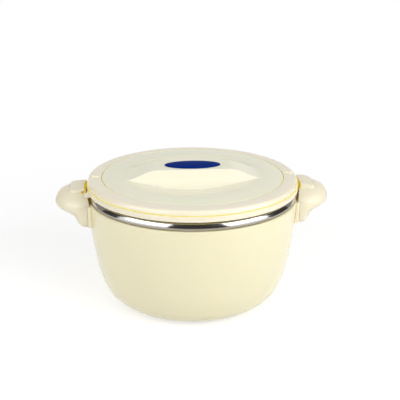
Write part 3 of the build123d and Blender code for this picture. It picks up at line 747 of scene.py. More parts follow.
# ---- pot ----
BASE_FIT = 0.3 * MM            # play round the base cover
BASE_LIFT = 0.15 * MM          # play above the base cover
BRACKET_SEAT = 0.15 * MM       # play between the bowl's side and a bracket
HEAD_FIT = 0.15 * MM           # play round a screw's head
HEAD_DOME = 0.6                # part of a screw head's height that is domed
SHANK_LENGTH = 5.7 * MM        # from the head's seat to where the point starts
SCREW_LENGTH = 6.5 * MM        # from the head's seat to the point
CROSS_BAR = (3.2 * MM, 0.7 * MM, 1.6 * MM)  # length, width and depth of a bar of the cross recess


def side_wall(pot, inset, steps=24):
    """Points down the bowl's side moved in by inset, from the rim to the flat of the base."""
    lean_high, lean_low = pot.upper_knee_lean, pot.lower_knee_lean
    rim = pot.rim_top - pot.band_height
    side = (rim - pot.upper_knee_height) / sin(lean_high)
    middle = (pot.upper_knee_height - pot.lower_knee_height) / (sin(lean_low) - sin(lean_high))
    corner = (pot.lower_knee_height - pot.base_height) / (1 - sin(lean_low))
    centre = Vector((pot.radius - side, rim))
    points = []
    stretches = ((side, 0.0, lean_high), (middle, lean_high, lean_low), (corner, lean_low, pi / 2))
    for i, (radius, start, end) in enumerate(stretches):
        if i:
            centre += (stretches[i - 1][0] - radius) * Vector((cos(start), -sin(start)))
        first = 0 if i == 0 else 1
        for step in range(first, steps + 1):
            lean = start + (end - start) * step / steps
            points.append((centre.x + (radius - inset) * cos(lean), centre.y - (radius - inset) * sin(lean)))
    return points


class CASSEROLE_OT_bowl(bpy.types.Operator):
    """Turn the moulded outer bowl"""

    bl_idname = "casserole.bowl"
    bl_label = "Outer bowl"

    def execute(self, context):
        pot, colours = context.scene.casserole_pot, context.scene.casserole_colours
        rim = pot.rim_top - pot.band_height
        neck = pot.radius - pot.neck_step
        recess_radius = BASE_HIGH.x + BASE_FIT
        recess_top = BASE_HIGH.z + BASE_LIFT
        floor_top = recess_top + pot.wall
        inner_wall = [p for p in side_wall(pot, pot.wall) if p[1] < rim - pot.shoulder_depth]
        outline = [(neck - pot.neck_wall, pot.neck_top), (neck, pot.neck_top), (neck, rim)]
        outline += side_wall(pot, 0.0)
        outline += [(recess_radius, pot.base_height), (recess_radius, recess_top), (0, recess_top)]
        outline += [(0, floor_top), (recess_radius + pot.wall, floor_top)]
        outline += [p for p in reversed(inner_wall) if p[0] > recess_radius + pot.wall and p[1] > floor_top]
        outline += [(neck - pot.neck_wall, rim - pot.shoulder_depth)]
        bowl = turned("bowl_shell", outline)
        soften(bowl, pot.edge_round)
        place(bowl, "pot", bowl_plastic(colours), ["outer_bowl"])
        return {"FINISHED"}


class CASSEROLE_OT_liner(bpy.types.Operator):
    """Turn the steel liner with its rolled rim and band"""

    bl_idname = "casserole.liner"
    bl_label = "Steel liner"

    def execute(self, context):
        pot, colours = context.scene.casserole_pot, context.scene.casserole_colours
        inner = pot.radius - pot.liner_inset - pot.sheet
        mouth = (inner + pot.mouth_bend, pot.rim_top - pot.mouth_bend)
        crown = (pot.band_radius - pot.band_bend, pot.rim_top - pot.band_bend)
        inward = pot.band_bend - pot.band_lip
        curl = (crown[0] + inward * cos(pot.band_turn), crown[1] - inward * sin(pot.band_turn))
        front = list(reversed(side_wall(pot, pot.liner_inset + pot.sheet)))
        turn, lip_end = -degrees(pot.band_turn), -degrees(pot.band_lip_end)
        front += arc(mouth, pot.mouth_bend, 180, 90) + arc(crown, pot.band_bend, 90, turn, 24)
        front += arc(curl, pot.band_lip, turn, lip_end)[1:]
        back = arc(curl, pot.band_lip - pot.sheet, lip_end, turn)
        back += arc(crown, pot.band_bend - pot.sheet, turn, 90, 24)[1:]
        back += arc(mouth, pot.mouth_bend - pot.sheet, 90, 180) + side_wall(pot, pot.liner_inset)
        outline = [(0, front[0][1])] + front + back + [(0, back[-1][1])]
        liner = turned("liner_with_band", outline)
        soften(liner, 0)

        def on_lip(centre, normal):
            """Lower edge of the band: satin, and painted a darker grey as a painted reflection."""
            return from_axis(centre) > crown[0] and centre.z < crown[1]

        # the band's lower edge is rougher, and its darker grey is a painted reflection
        polished = polished_stainless("Polished_Stainless", colours.steel, BUFFED)
        satin_edge_painted_reflection = polished_stainless("Satin_Stainless_Edge_Painted_Reflection", colours.steel_edge_painted_reflection, ROLLED_EDGE)
        place(liner, "pot", polished, ["steel_liner"], [(satin_edge_painted_reflection, on_lip)])
        return {"FINISHED"}


def screw_spots(pot):
    """Middles of the three base screws, the first of them at the back."""
    circle = BASE_HIGH.x - pot.screw_inset
    turns = [radians(90 + 120 * i) for i in range(3)]
    return [(circle * cos(turn), circle * sin(turn)) for turn in turns]


class CASSEROLE_OT_base(bpy.types.Operator):
    """Turn the base cover with its foot ring and model its three screws"""

    bl_idname = "casserole.base"
    bl_label = "Base cover and screws"

    def execute(self, context):
        pot, colours = context.scene.casserole_pot, context.scene.casserole_colours
        radius, top = BASE_HIGH.x, BASE_HIGH.z
        foot = radius - pot.foot_ring_inset
        outline = [(0, pot.base_height), (foot - pot.foot_ring_width, pot.base_height)]
        outline += [(foot - pot.foot_ring_width, 0), (foot, 0), (foot, pot.base_height)]
        outline += [(radius, pot.base_height), (radius, top), (0, top)]
        cover = turned("base_cover_foot", outline)
        seat = pot.base_height + pot.screw_head_height / 2
        screws = []
        for i, (x, y) in enumerate(screw_spots(pot)):
            pocket = new_piece(
                "pocket",
                bpy.ops.mesh.primitive_cylinder_add,
                radius=pot.screw_head_radius + HEAD_FIT,
                depth=2 * (seat - pot.base_height),
                location=(x, y, pot.base_height),
            )
            combine(cover, pocket)
            screws.append(self.screw(pot, i, x, y, seat))
        soften(cover, pot.base_edge_round)
        modify(cover, "WEIGHTED_NORMAL", keep_sharp=True)
        place(cover, "pot", bowl_plastic(colours), ["base_cover"])
        first = screws[0]
        select_only(first)
        for other in screws[1:]:
            other.select_set(True)
        bpy.ops.object.join()
        first.name = first.data.name = "base_screw_set"
        place(first, "pot", zinc_plate(colours), ["base_screws"])
        return {"FINISHED"}

    def screw(self, pot, index, x, y, seat):
        """Pan-head screw pointing up, with a cross recess, from one turned outline."""
        head, shank, bottom = pot.screw_head_radius, pot.screw_radius, seat - pot.screw_head_height
        dome = pot.screw_head_height * HEAD_DOME
        outline = [(0, bottom)]
        # the dome starts a little out from the middle, which stays flat
        outline += [(head * sin(t), bottom + dome * (1 - cos(t))) for t in even(0.2, pi / 2, 6)]
        outline += [(head, seat), (shank, seat), (shank, seat + SHANK_LENGTH), (0, seat + SCREW_LENGTH)]
        screw = turned(f"screw_{index}", outline, steps=48)
        for turn in (0, pi / 2):
            bar = new_piece("bar", bpy.ops.mesh.primitive_cube_add, size=1)
            bar.data.transform(Matrix.Rotation(turn, 4, "Z") @ Matrix.Diagonal((*CROSS_BAR, 1)))
            bar.data.transform(Matrix.Translation((0, 0, bottom)))
            combine(screw, bar)
        screw.data.transform(Matrix.Translation((x, y, 0)))
        soften(screw, 0)
        return screw


class CASSEROLE_OT_brackets(bpy.types.Operator):
    """Extrude the curved plates behind the ears and fit them to the bowl"""

    bl_idname = "casserole.brackets"
    bl_label = "Ear brackets"

    def execute(self, context):
        pot, ears = context.scene.casserole_pot, context.scene.casserole_ears
        colours = context.scene.casserole_colours
        outer, half, corner = BRACKET_HIGH.x, ears.bracket_angle, ears.bracket_corner
        turn = half - asin(corner / (outer - corner))
        x, y = (outer - corner) * cos(turn), (outer - corner) * sin(turn)
        side = [(outer * cos(t), outer * sin(t)) for t in even(0, turn, 12)]
        side += [(x + corner * cos(t), y + corner * sin(t)) for t in even(turn, turn + pi / 2, 8)[1:]]
        # the plate's back starts well inside the bowl's wall, which is cut away next
        inside = 0.9 * outer
        side += [(inside * cos(half), inside * sin(half))]
        plan = [(x, -y) for x, y in reversed(side)] + side[1:]
        bracket = prism("bracket_plate_right", plan, BRACKET_LOW.z, BRACKET_HIGH.z)
        wall = side_wall(pot, -BRACKET_SEAT)
        combine(bracket, turned("wall", [(0, wall[0][1]), *wall, (0, wall[-1][1])]))
        soften(bracket, ears.bracket_edge_round, 4)
        # painted glow on the plate's upright edges beside the bowl, which lightens the shade there
        seam = painted_light_plastic("Polypropylene_Seam_Painted_Glow", colours.seam, SEAM_GLOW)

        def beside_bowl(centre, normal):
            """Upright edge where the plate meets the bowl, and not the plate's outer face."""
            return abs(normal.z) < UPRIGHT and facing_out(centre, normal) < 0.55

        place_pair(bracket, "bracket_plate_left", "bracket", ear_plastic(colours), [(seam, beside_bowl)])
        return {"FINISHED"}


# ---- ears ----
PLAN_POINTS = 48               # round a plan section of the ear
PLAN_BACK = 8 * MM             # how far that plan goes behind the ear's root
TOOL_START = 6 * MM            # how far behind the root the cutting tools start
TOOL_BELOW = 5 * MM            # how far they go below the ear
TOOL_ABOVE = 9 * MM            # how far they go above it
LEDGE_LAP = 0.2 * MM           # the ledge is cut this far into the cap's seat, so that no thin wall stays
RECESS_LAP = 0.3 * MM          # a recess's colour goes this far round its edge
# plan sections of the ear as shares of height, reach and half width
EAR_SHAPE = [
    (0.000, 0.330, 0.940),
    (0.070, 0.357, 0.980),
    (0.150, 0.400, 0.993),
    (0.235, 0.462, 1.000),
    (0.305, 0.553, 1.000),
    (0.373, 0.720, 1.000),
    (0.442, 0.930, 1.000),
    (0.540, 1.000, 1.000),
    (0.663, 0.973, 0.979),
    (0.787, 0.904, 0.870),
    (0.870, 0.832, 0.705),
    (0.926, 0.745, 0.560),
    (0.956, 0.645, 0.455),
    (0.985, 0.510, 0.360),
]


def cap_span(ears, grow):
    """Span in x of a row of the lock cap's plan: a rectangle with rounded outer corners."""
    half, end, corner = CAP_HIGH.y + grow, CAP_HIGH.x + grow, ears.cap_corner + grow

    def span(y):
        into_corner = max(abs(y) - (half - corner), 0.0)
        start = sqrt(ears.cap_inner_radius**2 - y**2)
        return start, end - corner + sqrt(max(corner**2 - into_corner**2, 0.0))

    return span


def cap_rows(ears, grow):
    """Rows in y of the same plan, closest round its corners."""
    half, corner = CAP_HIGH.y + grow, ears.cap_corner + grow
    straight = even(0, half - corner, 8)
    round_part = [half - corner + corner * sin(turn) for turn in even(0, pi / 2, 24)]
    return mirrored(straight + round_part[1:])


class CASSEROLE_OT_ears(bpy.types.Operator):
    """Bridge the ears from plan sections and cut them to fit"""

    bl_idname = "casserole.ears"
    bl_label = "Ears"

    def execute(self, context):
        ears, colours = context.scene.casserole_ears, context.scene.casserole_colours
        ear = self.bridge_sections(ears)
        for tool in self.cutters(ears):
            combine(ear, tool)
        soften(ear, ears.edge_round, 2)
        # painted shade with some glow on the ear's wall beside the lid, and painted glow in the notch and
        # beside the cap
        shade = painted_light_plastic("Polypropylene_Recess_Painted_Shade_And_Glow", colours.recess_shade, SHADED_GLOW)

        def faces_lid(centre, normal):
            """Inner face beside the lid."""
            return facing_out(centre, normal) < -0.5 and centre.z > BRACKET_HIGH.z

        def in_notch(centre, normal):
            """Floor and wall of the cut that a lug passes through, and of the ledge beside the cap."""
            open_side = (centre.y > 0) == (centre.x > 0)
            reach = ears.notch_radius if open_side else ears.cap_inner_radius
            if from_axis(centre) > reach + RECESS_LAP or centre.z < ears.slot_floor - NEAR:
                return False
            return open_side or abs(centre.y) < CAP_HIGH.y

        finishes = [(painted_glow_recess(colours), in_notch), (shade, faces_lid)]
        place_pair(ear, "ear_grip_left", "ear", ear_plastic(colours), finishes)
        return {"FINISHED"}

    def bridge_sections(self, ears):
        """Ear joined up from circles, one moved to each plan section, and smoothed."""
        sections = []
        # rounded lower edge, in from the first section
        reach, half = EAR_SHAPE[0][1] * ears.reach, EAR_SHAPE[0][2] * ears.half_width
        for turn in even(0, pi / 2, 3)[:-1]:
            inset = ears.bottom_round * (1 - sin(turn))
            rise = ears.bottom_round * (1 - cos(turn))
            sections.append((rise, reach - inset, half - inset))
        for height, reach, width in EAR_SHAPE[1:]:
            sections.append((height * ears.height, reach * ears.reach, width * ears.half_width))
        circle = {"vertices": PLAN_POINTS, "radius": 1.0, "fill_type": "NOTHING"}
        ear = new_piece("ear_grip_right", bpy.ops.mesh.primitive_circle_add, **circle)
        bpy.ops.object.mode_set(mode="EDIT")
        for _ in sections[1:]:
            bpy.ops.mesh.primitive_circle_add(**circle)
        bpy.ops.object.mode_set(mode="OBJECT")
        for i, vertex in enumerate(ear.data.vertices):
            rise, reach, half = sections[i // PLAN_POINTS]
            turn = atan2(vertex.co.y, vertex.co.x)
            if abs(turn) <= pi / 2 + 0.001:
                # front half with its two ends: an oval
                x, y = ears.root + reach * cos(turn), half * sin(turn)
            else:
                # back half: straight back from the oval's ends, then across
                x = ears.root - min((abs(turn) - pi / 2) / (pi / 4), 1.0) * PLAN_BACK
                y = half * (1 if turn > 0 else -1) * min(1.0, (pi - abs(turn)) / (pi / 4))
            vertex.co = (x, y, EAR_LOW.z + rise)
        bpy.ops.object.mode_set(mode="EDIT")
        bpy.ops.mesh.select_all(action="SELECT")
        bpy.ops.mesh.bridge_edge_loops()
        bpy.ops.mesh.select_all(action="DESELECT")
        bpy.ops.mesh.select_mode(type="EDGE")
        bpy.ops.mesh.select_non_manifold(extend=False)
        bpy.ops.mesh.fill_holes(sides=0)
        close_up()
        modify(ear, "SUBSURF", levels=2, render_levels=2)
        return ear

    def cutters(self, ears):
        """Tools that fit the ear to the bracket, the lid, the lock cap and the passing lug."""
        behind = BRACKET_HIGH.x + ears.bracket_fit
        shelf = BRACKET_HIGH.z + ears.bracket_fit
        low, high = EAR_LOW.z - TOOL_BELOW, EAR_HIGH.z + TOOL_ABOVE
        outline = [(0, low), (behind, low), (behind, shelf)]
        outline += [(ears.inner_radius, shelf), (ears.inner_radius, high), (0, high)]
        back = turned("back", outline)
        rows, span = cap_rows(ears, ears.bracket_fit), cap_span(ears, ears.bracket_fit)
        seat = moulded_sheet("seat", rows, even(0, 1, 4), span, lambda x, y: high)
        extrude_down(seat, CAP_LOW.z)
        start = ears.root - TOOL_START
        outline = rectangle(start, ears.notch_radius, ears.slot_floor, high)
        notch = swept("notch", outline, 0.0, pi / 3)
        outline = rectangle(start, ears.cap_inner_radius + LEDGE_LAP, ears.slot_floor, high)
        ledge = swept("ledge", outline, -asin(CAP_HIGH.y / ears.cap_inner_radius), 0.0)
        return back, seat, notch, ledge


CAP_CREST = 0.5 * MM           # blend of the cap's level top into its fall
CAP_RIDGE = 0.4 * MM           # blend of its top into its sloping sides
SLOT_END = 0.4 * MM            # from the slot's closed end to where its colour stops
# places of the first rows and columns in from a cap's edge, as shares of its width
CAP_FINE = [0, 0.004, 0.01, 0.02, 0.035]


class CASSEROLE_OT_lock_caps(bpy.types.Operator):
    """Mould the raised caps with their curved slots"""

    bl_idname = "casserole.lock_caps"
    bl_label = "Lock caps"

    def execute(self, context):
        ears, lid = context.scene.casserole_ears, context.scene.casserole_lid
        colours = context.scene.casserole_colours
        half, end, corner = CAP_HIGH.y, CAP_HIGH.x, ears.cap_corner

        def height(x, y):
            """Height of the cap's top: level, then falling outwards, with sloping sides and round edges."""
            slope = (x - ears.cap_flat_end) / (end - ears.cap_flat_end)
            level = smooth_min(CAP_HIGH.z, CAP_HIGH.z - ears.cap_fall * slope, CAP_CREST)
            if y < 0:
                facet = ears.cap_facet_foot + (half - abs(y)) * tan(ears.cap_facet_slope)
            else:
                facet = ears.cap_mouth_foot + (half - abs(y)) * tan(ears.cap_mouth_slope)
            top = smooth_min(level, facet, CAP_RIDGE)
            over_x, over_y = x - (end - corner), abs(y) - (half - corner)
            if over_x > 0 and over_y > 0:
                inside = corner - hypot(over_x, over_y)
            else:
                inside = min(end - x, half - abs(y))
            inner_side = hypot(x, y) - ears.cap_inner_radius
            return top - edge_drop(inside, ears.cap_edge) - edge_drop(inner_side, ears.cap_edge / 2)

        # rows and columns lie closest at the edges, and rows also over the sloping sides
        columns = CAP_FINE + even(0.06, 0.94, 30) + [1 - part for part in reversed(CAP_FINE)]
        near_side = [half - part * half for part in CAP_FINE[1:]] + even(0.7 * half, 0.97 * half, 20)
        rows = sorted(set(cap_rows(ears, 0.0)) | set(near_side) | {-y for y in near_side})
        cap = moulded_sheet("lock_cap_right", rows, columns, cap_span(ears, 0.0), height)
        extrude_down(cap, CAP_LOW.z)
        mouth = asin(half / ears.cap_inner_radius) + lid.lug_span
        outline = rectangle(ears.root - TOOL_START, ears.slot_radius, ears.slot_floor, ears.slot_roof)
        combine(cap, swept("slot", outline, -ears.slot_stop, mouth))
        soften(cap, 0)
        closed = ears.slot_radius * sin(ears.slot_stop) + SLOT_END

        def in_recess(centre, normal):
            """Face beside the lid, and the inside of the slot."""
            radius, beside = from_axis(centre), abs(centre.y)
            in_slot = radius < ears.slot_radius + RECESS_LAP
            in_slot = in_slot and ears.slot_floor - NEAR < centre.z < ears.slot_roof + NEAR
            past_end = (centre.y < 0) != (centre.x < 0) and beside > closed
            outer_side = beside > half - NEAR or past_end
            return radius < ears.cap_inner_radius + RECESS_LAP or in_slot and not outer_side

        # painted glow on the cap's wall beside the lid and inside its slot
        recess = painted_glow_recess(colours)
        place_pair(cap, "lock_cap_left", "lock_cap", ear_plastic(colours), [(recess, in_recess)])
        return {"FINISHED"}


# ---- lid ----
RIM_LAP = 0.2 * MM             # a groove's colour starts or ends this far in from the edge beside it
GROOVE_LIP = 0.3 * MM          # it ends this far below the ring's top edge beside the panel
SCOOP_LIP = 1.5 * MM           # a scoop's floor is all that lies this far below the panel's middle
WALL_BEFORE, WALL_AFTER = 2.6 * MM, 9 * MM  # from the grip's edge to the first and last row over its wall
GRIP_SPREAD, GRIP_FADE = 7 * MM, 6 * MM     # from the grip's edge to where its rise fades, and over how much
SCOOP_BLEND = 2 * MM           # rounding between a scoop's wall and its floor
CREST_PART = 0.35              # rounding of a scoop's top edge as a part of the scoop's depth there
CREST_LEAST = 0.5 * MM         # least rounding of that edge
# places of the first columns in from the panel's edge, as shares of its width
PANEL_FINE = [0, 0.0008, 0.0018, 0.0032, 0.006, 0.012]


class CASSEROLE_OT_seal(bpy.types.Operator):
    """Turn the silicone seal"""

    bl_idname = "casserole.seal"
    bl_label = "Seal ring"

    def execute(self, context):
        lid, colours = context.scene.casserole_lid, context.scene.casserole_colours
        inner, outer, low, high = lid.seal_inner, SEAL_HIGH.x, SEAL_LOW.z, SEAL_HIGH.z
        cut, crest = lid.seal_chamfer, (lid.seal_inner + SEAL_HIGH.x) / 2
        outline = [(inner + cut, low), (outer - cut, low), (outer, low + cut), (outer, high - cut)]
        outline += [(crest + cut, high), (crest - cut, high), (inner, high - cut), (inner, low + cut)]
        seal = turned("seal_lip_ring", outline)
        soften(seal, lid.seal_edge_round)
        silicone = moulded_silicone("Moulded_Silicone", colours.silicone)
        place(seal, "seal", silicone, ["seal_ring"])
        return {"FINISHED"}


class CASSEROLE_OT_lid_cover(bpy.types.Operator):
    """Turn the lid's inner cover with skirt, seal ribs, dish and lugs"""

    bl_idname = "casserole.lid_cover"
    bl_label = "Lid inner cover"

    def execute(self, context):
        lid, colours = context.scene.casserole_lid, context.scene.casserole_colours
        top, low = COVER_HIGH.z, COVER_LOW.z
        ceiling = top - lid.flange
        skirt, skirt_in = lid.skirt_radius, lid.skirt_radius - lid.skirt_wall
        rib_out, rib_in = SEAL_HIGH.x + lid.rib_play, lid.seal_inner - lid.rib_play
        rib_low = ceiling - lid.rib_depth
        dish, edge = lid.plug_radius, lid.plug_edge
        outline = [(skirt, top), (skirt, lid.skirt_bottom), (skirt_in, lid.skirt_bottom), (skirt_in, ceiling)]
        for near, far in ((rib_out + lid.rib_wall, rib_out), (rib_in, rib_in - lid.rib_wall)):
            outline += [(near, ceiling), (near, rib_low), (far, rib_low), (far, ceiling)]
        outline += [(dish, ceiling)]
        outline += arc((dish - edge, low + edge), edge, 0, -90, 6)
        outline += [(0, low), (0, low + lid.plug_wall), (dish - lid.plug_wall, low + lid.plug_wall)]
        outline += [(dish - lid.plug_wall, top)]
        cover = turned("lid_skirt_and_dish", outline)
        lug_outline = [(lid.lug_inner, lid.lug_bottom), (lid.lug_outer, lid.lug_bottom)]
        lug_outline += [(lid.lug_outer, lid.lug_top), (lid.lug_root, lid.lug_top)]
        lug_outline += [(lid.lug_root, lid.lug_root_top), (lid.lug_inner, lid.lug_root_top)]
        for side in (0, pi):
            start = side + lid.lug_start
            combine(cover, swept("lug", lug_outline, start, start + lid.lug_span), "UNION")
        soften(cover, lid.cover_edge_round)

        def under_ring(centre, normal):
            """Top of the skirt under the ring's rim."""
            return centre.z > top - NEAR and from_axis(centre) < RING_HIGH.y - RIM_LAP

        def under_skirt(centre, normal):
            """Lower edge of the skirt over the steel band."""
            return normal.z < -0.8 and abs(centre.z - lid.skirt_bottom) < NEAR

        # painted glow on the skirt's top under the ring's rim, and painted shade with a faint glow on its
        # lower edge
        shade = painted_light_plastic("Polypropylene_Underside_Painted_Shade", colours.underside_painted_shade, UNDERSIDE_GLOW)
        finishes = [(painted_glow_edge(colours), under_ring), (shade, under_skirt)]
        place(cover, "lid", lid_plastic(colours), ["lid_inner_cover"], finishes)
        return {"FINISHED"}


class CASSEROLE_OT_lid_ring(bpy.types.Operator):
    """Turn the lid's top ring and add the rib beside each ear"""

    bl_idname = "casserole.lid_ring"
    bl_label = "Lid top ring"

    def execute(self, context):
        lid, colours = context.scene.casserole_lid, context.scene.casserole_colours
        radius = RING_HIGH.y
        edge_top = lid.ring_bottom + lid.ring_edge
        shoulder, shoulder_top = radius - lid.ring_shoulder_width, lid.ring_shoulder_top
        groove = radius - lid.parting_depth
        neck = groove - lid.ring_wall
        ledge = lid.ring_inner - lid.ledge_width
        ledge_top = lid.panel_edge_top - lid.panel_wall
        width, rise = lid.ring_shoulder_width, shoulder_top - edge_top
        curve = [(shoulder + width * cos(t), edge_top + rise * sin(t)) for t in even(0, pi / 2, 14)]
        outline = [(groove, RING_LOW.z), (groove, lid.ring_bottom), (radius, lid.ring_bottom)] + curve
        outline += [(lid.ring_inner, lid.ring_inner_top), (lid.ring_inner, ledge_top), (ledge, ledge_top)]
        outline += [(ledge, ledge_top - lid.ring_wall), (neck, ledge_top - lid.ring_wall), (neck, RING_LOW.z)]
        ring = turned("lid_rim_ring", outline)
        soften(ring, lid.ring_edge_round)
        for side in (1, -1):
            combine(ring, self.mark(lid, shoulder, side), "UNION")
        soften(ring, 0)

        def in_groove(centre, normal):
            """Wall and ledge beside the panel, and everything under the rim."""
            inside = from_axis(centre) < lid.ring_inner + NEAR
            beside_panel = inside and centre.z < lid.ring_inner_top - GROOVE_LIP
            return beside_panel or centre.z < lid.ring_bottom + NEAR

        # painted glow on the ring's wall and ledge beside the panel and under its rim
        finishes = [(painted_glow_edge(colours), in_groove)]
        place(ring, "lid", lid_plastic(colours), ["lid_top_ring"], finishes)
        return {"FINISHED"}

    def mark(self, lid, shoulder, side):
        """Low rib with rounded edges, sunk into the ring's top."""
        mark = new_piece("mark", bpy.ops.mesh.primitive_cube_add, size=1)
        long = shoulder - lid.ring_inner - 2 * lid.mark_margin
        middle = side * (shoulder + lid.ring_inner) / 2
        high = 2 * (RING_HIGH.z - lid.ring_inner_top)
        mark.data.transform(Matrix.Diagonal((long, lid.mark_width, high, 1)))
        mark.data.transform(Matrix.Translation((middle, 0, lid.ring_inner_top)))
        modify(mark, "BEVEL", width=lid.mark_edge_round, segments=3)
        return mark


class CASSEROLE_OT_lid_panel(bpy.types.Operator):
    """Mould the lid's panel with its grip and finger scoops"""

    bl_idname = "casserole.lid_panel"
    bl_label = "Lid panel"

    def execute(self, context):
        lid, colours = context.scene.casserole_lid, context.scene.casserole_colours
        radius = PANEL_HIGH.y
        # rows lie closest over the grip's wall, rows and columns also at the panel's edge
        wall_start, wall_end = lid.grip_half_width - WALL_BEFORE, lid.grip_half_width + WALL_AFTER
        rows = even(0, wall_start - 0.4 * MM, 4) + even(wall_start, wall_end, 32)
        rows += even(wall_end + 1.5 * MM, 0.95 * radius, 42)
        rows += [radius * sin(turn) for turn in even(asin(0.955), pi / 2, 12)]
        columns = PANEL_FINE + even(0.02, 0.98, 128) + [1 - part for part in reversed(PANEL_FINE)]

        def span(y):
            """Ends of a row of the round panel."""
            reach = sqrt(max(radius**2 - y**2, 0.0))
            return -reach, reach

        panel = moulded_sheet("lid_panel_grip", mirrored(rows), columns, span, self.height(lid, radius))
        select_only(panel)
        bpy.ops.object.mode_set(mode="EDIT")
        close_up()
        modify(panel, "SOLIDIFY", thickness=lid.panel_wall, offset=-1)
        soften(panel, 0)

        def on_edge(centre, normal):
            """Upright edge all round."""
            return from_axis(centre) > radius - RIM_LAP and abs(normal.z) < UPRIGHT

        def in_scoop(centre, normal):
            """The grip's walls and the floor at their foot."""
            if from_axis(centre) > lid.scoop_reach:
                return False
            return abs(normal.y) > 0.3 or centre.z < lid.panel_top - SCOOP_LIP

        # painted glow on the panel's upright edge, and painted light on the grip's walls and the scoops'
        # floors
        finishes = [(painted_glow_edge(colours), on_edge), (scoop_painted_light_plastic(colours), in_scoop)]
        place(panel, "lid", panel_plastic(colours), ["lid_panel"], finishes)
        return {"FINISHED"}

    def height(self, lid, radius):
        """Height of the panel at (x, y): crowned disc, grip, and a scoop on both sides of it."""
        grip_rise = PANEL_HIGH.z - lid.panel_top
        drop_mid, drop_floor = grip_rise, grip_rise + lid.scoop_depth
        # the wall's spread is near * drop + curve * drop * drop
        mid_share = lid.scoop_mid_spread / drop_mid
        floor_share = lid.scoop_floor_spread / drop_floor
        curve = (floor_share - mid_share) / (drop_floor - drop_mid)
        near = mid_share - curve * drop_mid
        slope_start = radius - lid.panel_slope_width

        def wall(out):
            """Height of the grip's wall at a distance out from its top edge."""
            if out <= 0:
                return PANEL_HIGH.z - out / near
            return PANEL_HIGH.z - (sqrt(near**2 + 4 * curve * out) - near) / (2 * curve)

        def height(x, y):
            """The sloping disc with the grip's rise, or the scoop where that is lower."""
            reach, out = hypot(x, y), abs(y)
            slope = max(reach - slope_start, 0.0) / lid.panel_slope_width
            top = lid.panel_top - (lid.panel_top - lid.panel_edge_top) * slope**1.5
            along = 1 - smooth_step((abs(x) - lid.grip_flat) / (lid.grip_foot - lid.grip_flat))
            beside = 1 - smooth_step((out - lid.grip_half_width - GRIP_SPREAD) / GRIP_FADE)
            top += grip_rise * along * beside
            to_edge = lid.scoop_edge_radius - hypot(x, out + lid.scoop_edge_centre)
            floor = lid.panel_top - to_edge * tan(lid.scoop_floor_slope)
            scoop = smooth_max(wall(out - lid.grip_half_width), floor, SCOOP_BLEND)
            crest = min(max(CREST_PART * (top - floor), CREST_LEAST), lid.crest_round)
            return smooth_min(top, scoop, crest) - edge_drop(radius - reach, lid.panel_edge_round)

        return height


class CASSEROLE_OT_badge(bpy.types.Operator):
    """Extrude the plain oval badge on the grip"""

    bl_idname = "casserole.badge"
    bl_label = "Badge"

    def execute(self, context):
        lid, colours = context.scene.casserole_lid, context.scene.casserole_colours
        circle = {"vertices": 128, "radius": 1.0, "fill_type": "NGON"}
        badge = new_piece("badge_oval", bpy.ops.mesh.primitive_circle_add, **circle)
        badge.data.transform(Matrix.Diagonal((BADGE_HIGH.x, BADGE_HIGH.y, 1, 1)))
        badge.data.transform(Matrix.Translation((0, 0, BADGE_LOW.z)))
        bpy.ops.object.mode_set(mode="EDIT")
        bpy.ops.mesh.select_all(action="SELECT")
        rise = (0, 0, BADGE_HIGH.z - BADGE_LOW.z)
        bpy.ops.mesh.extrude_region_move(TRANSFORM_OT_translate={"value": rise})
        close_up()
        soften(badge, lid.badge_edge)
        label = printed_label("Printed_Label_Blue", colours.blue)
        place(badge, "lid", label, ["lid_badge"])
        return {"FINISHED"}


class CASSEROLE_OT_inner_parts(bpy.types.Operator):
    """Finish the foam, plug and hidden screws, which keep the frame's own shape"""

    bl_idname = "casserole.inner_parts"
    bl_label = "Foam and hidden screws"

    def execute(self, context):
        colours = context.scene.casserole_colours
        foam = poured_foam("Poured_Polyurethane_Foam", colours.foam)
        zinc = zinc_plate(colours)
        finishes = {"bowl_foam": foam, "lid_foam": foam, "foam_plug": bowl_plastic(colours)}
        for side in ("right", "left"):
            finishes[f"{side}_ear_screws"] = zinc
            finishes[f"{side}_cap_screws"] = zinc
        for node, material in finishes.items():
            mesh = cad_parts[node].data
            mesh.materials.clear()
            mesh.materials.append(material)
        return {"FINISHED"}


# ---- stage ----
WHITE = linear("FFFFFF")
WARM_WHITE = linear("FFF9EE")
DARK_CARD, GREY_CARD = 0.045, 0.3  # how much a card glows where a mirror sees it
CARD_PROFILE = ((0.4, 0.004), (1.0, 0.004), (1.05, 1.3))  # reach and height, along the table and then up
BOX_AIM = 0.1                  # height that the soft boxes face
CAMERA_AIM = 0.2 * MM          # camera's aim above the middle between skirt and ring


def background_only(tree):
    """1 where a camera, mirror or glass ray sees the background, 0 for the light it gives off."""
    path = add_node(tree, "LightPath").outputs
    rays = {0: path["Is Camera Ray"], 1: path["Is Glossy Ray"]}
    seen = add_node(tree, "Math", rays, operation="MAXIMUM")
    rays = {0: seen.outputs[0], 1: path["Is Transmission Ray"]}
    return add_node(tree, "Math", rays, operation="MAXIMUM").outputs[0]


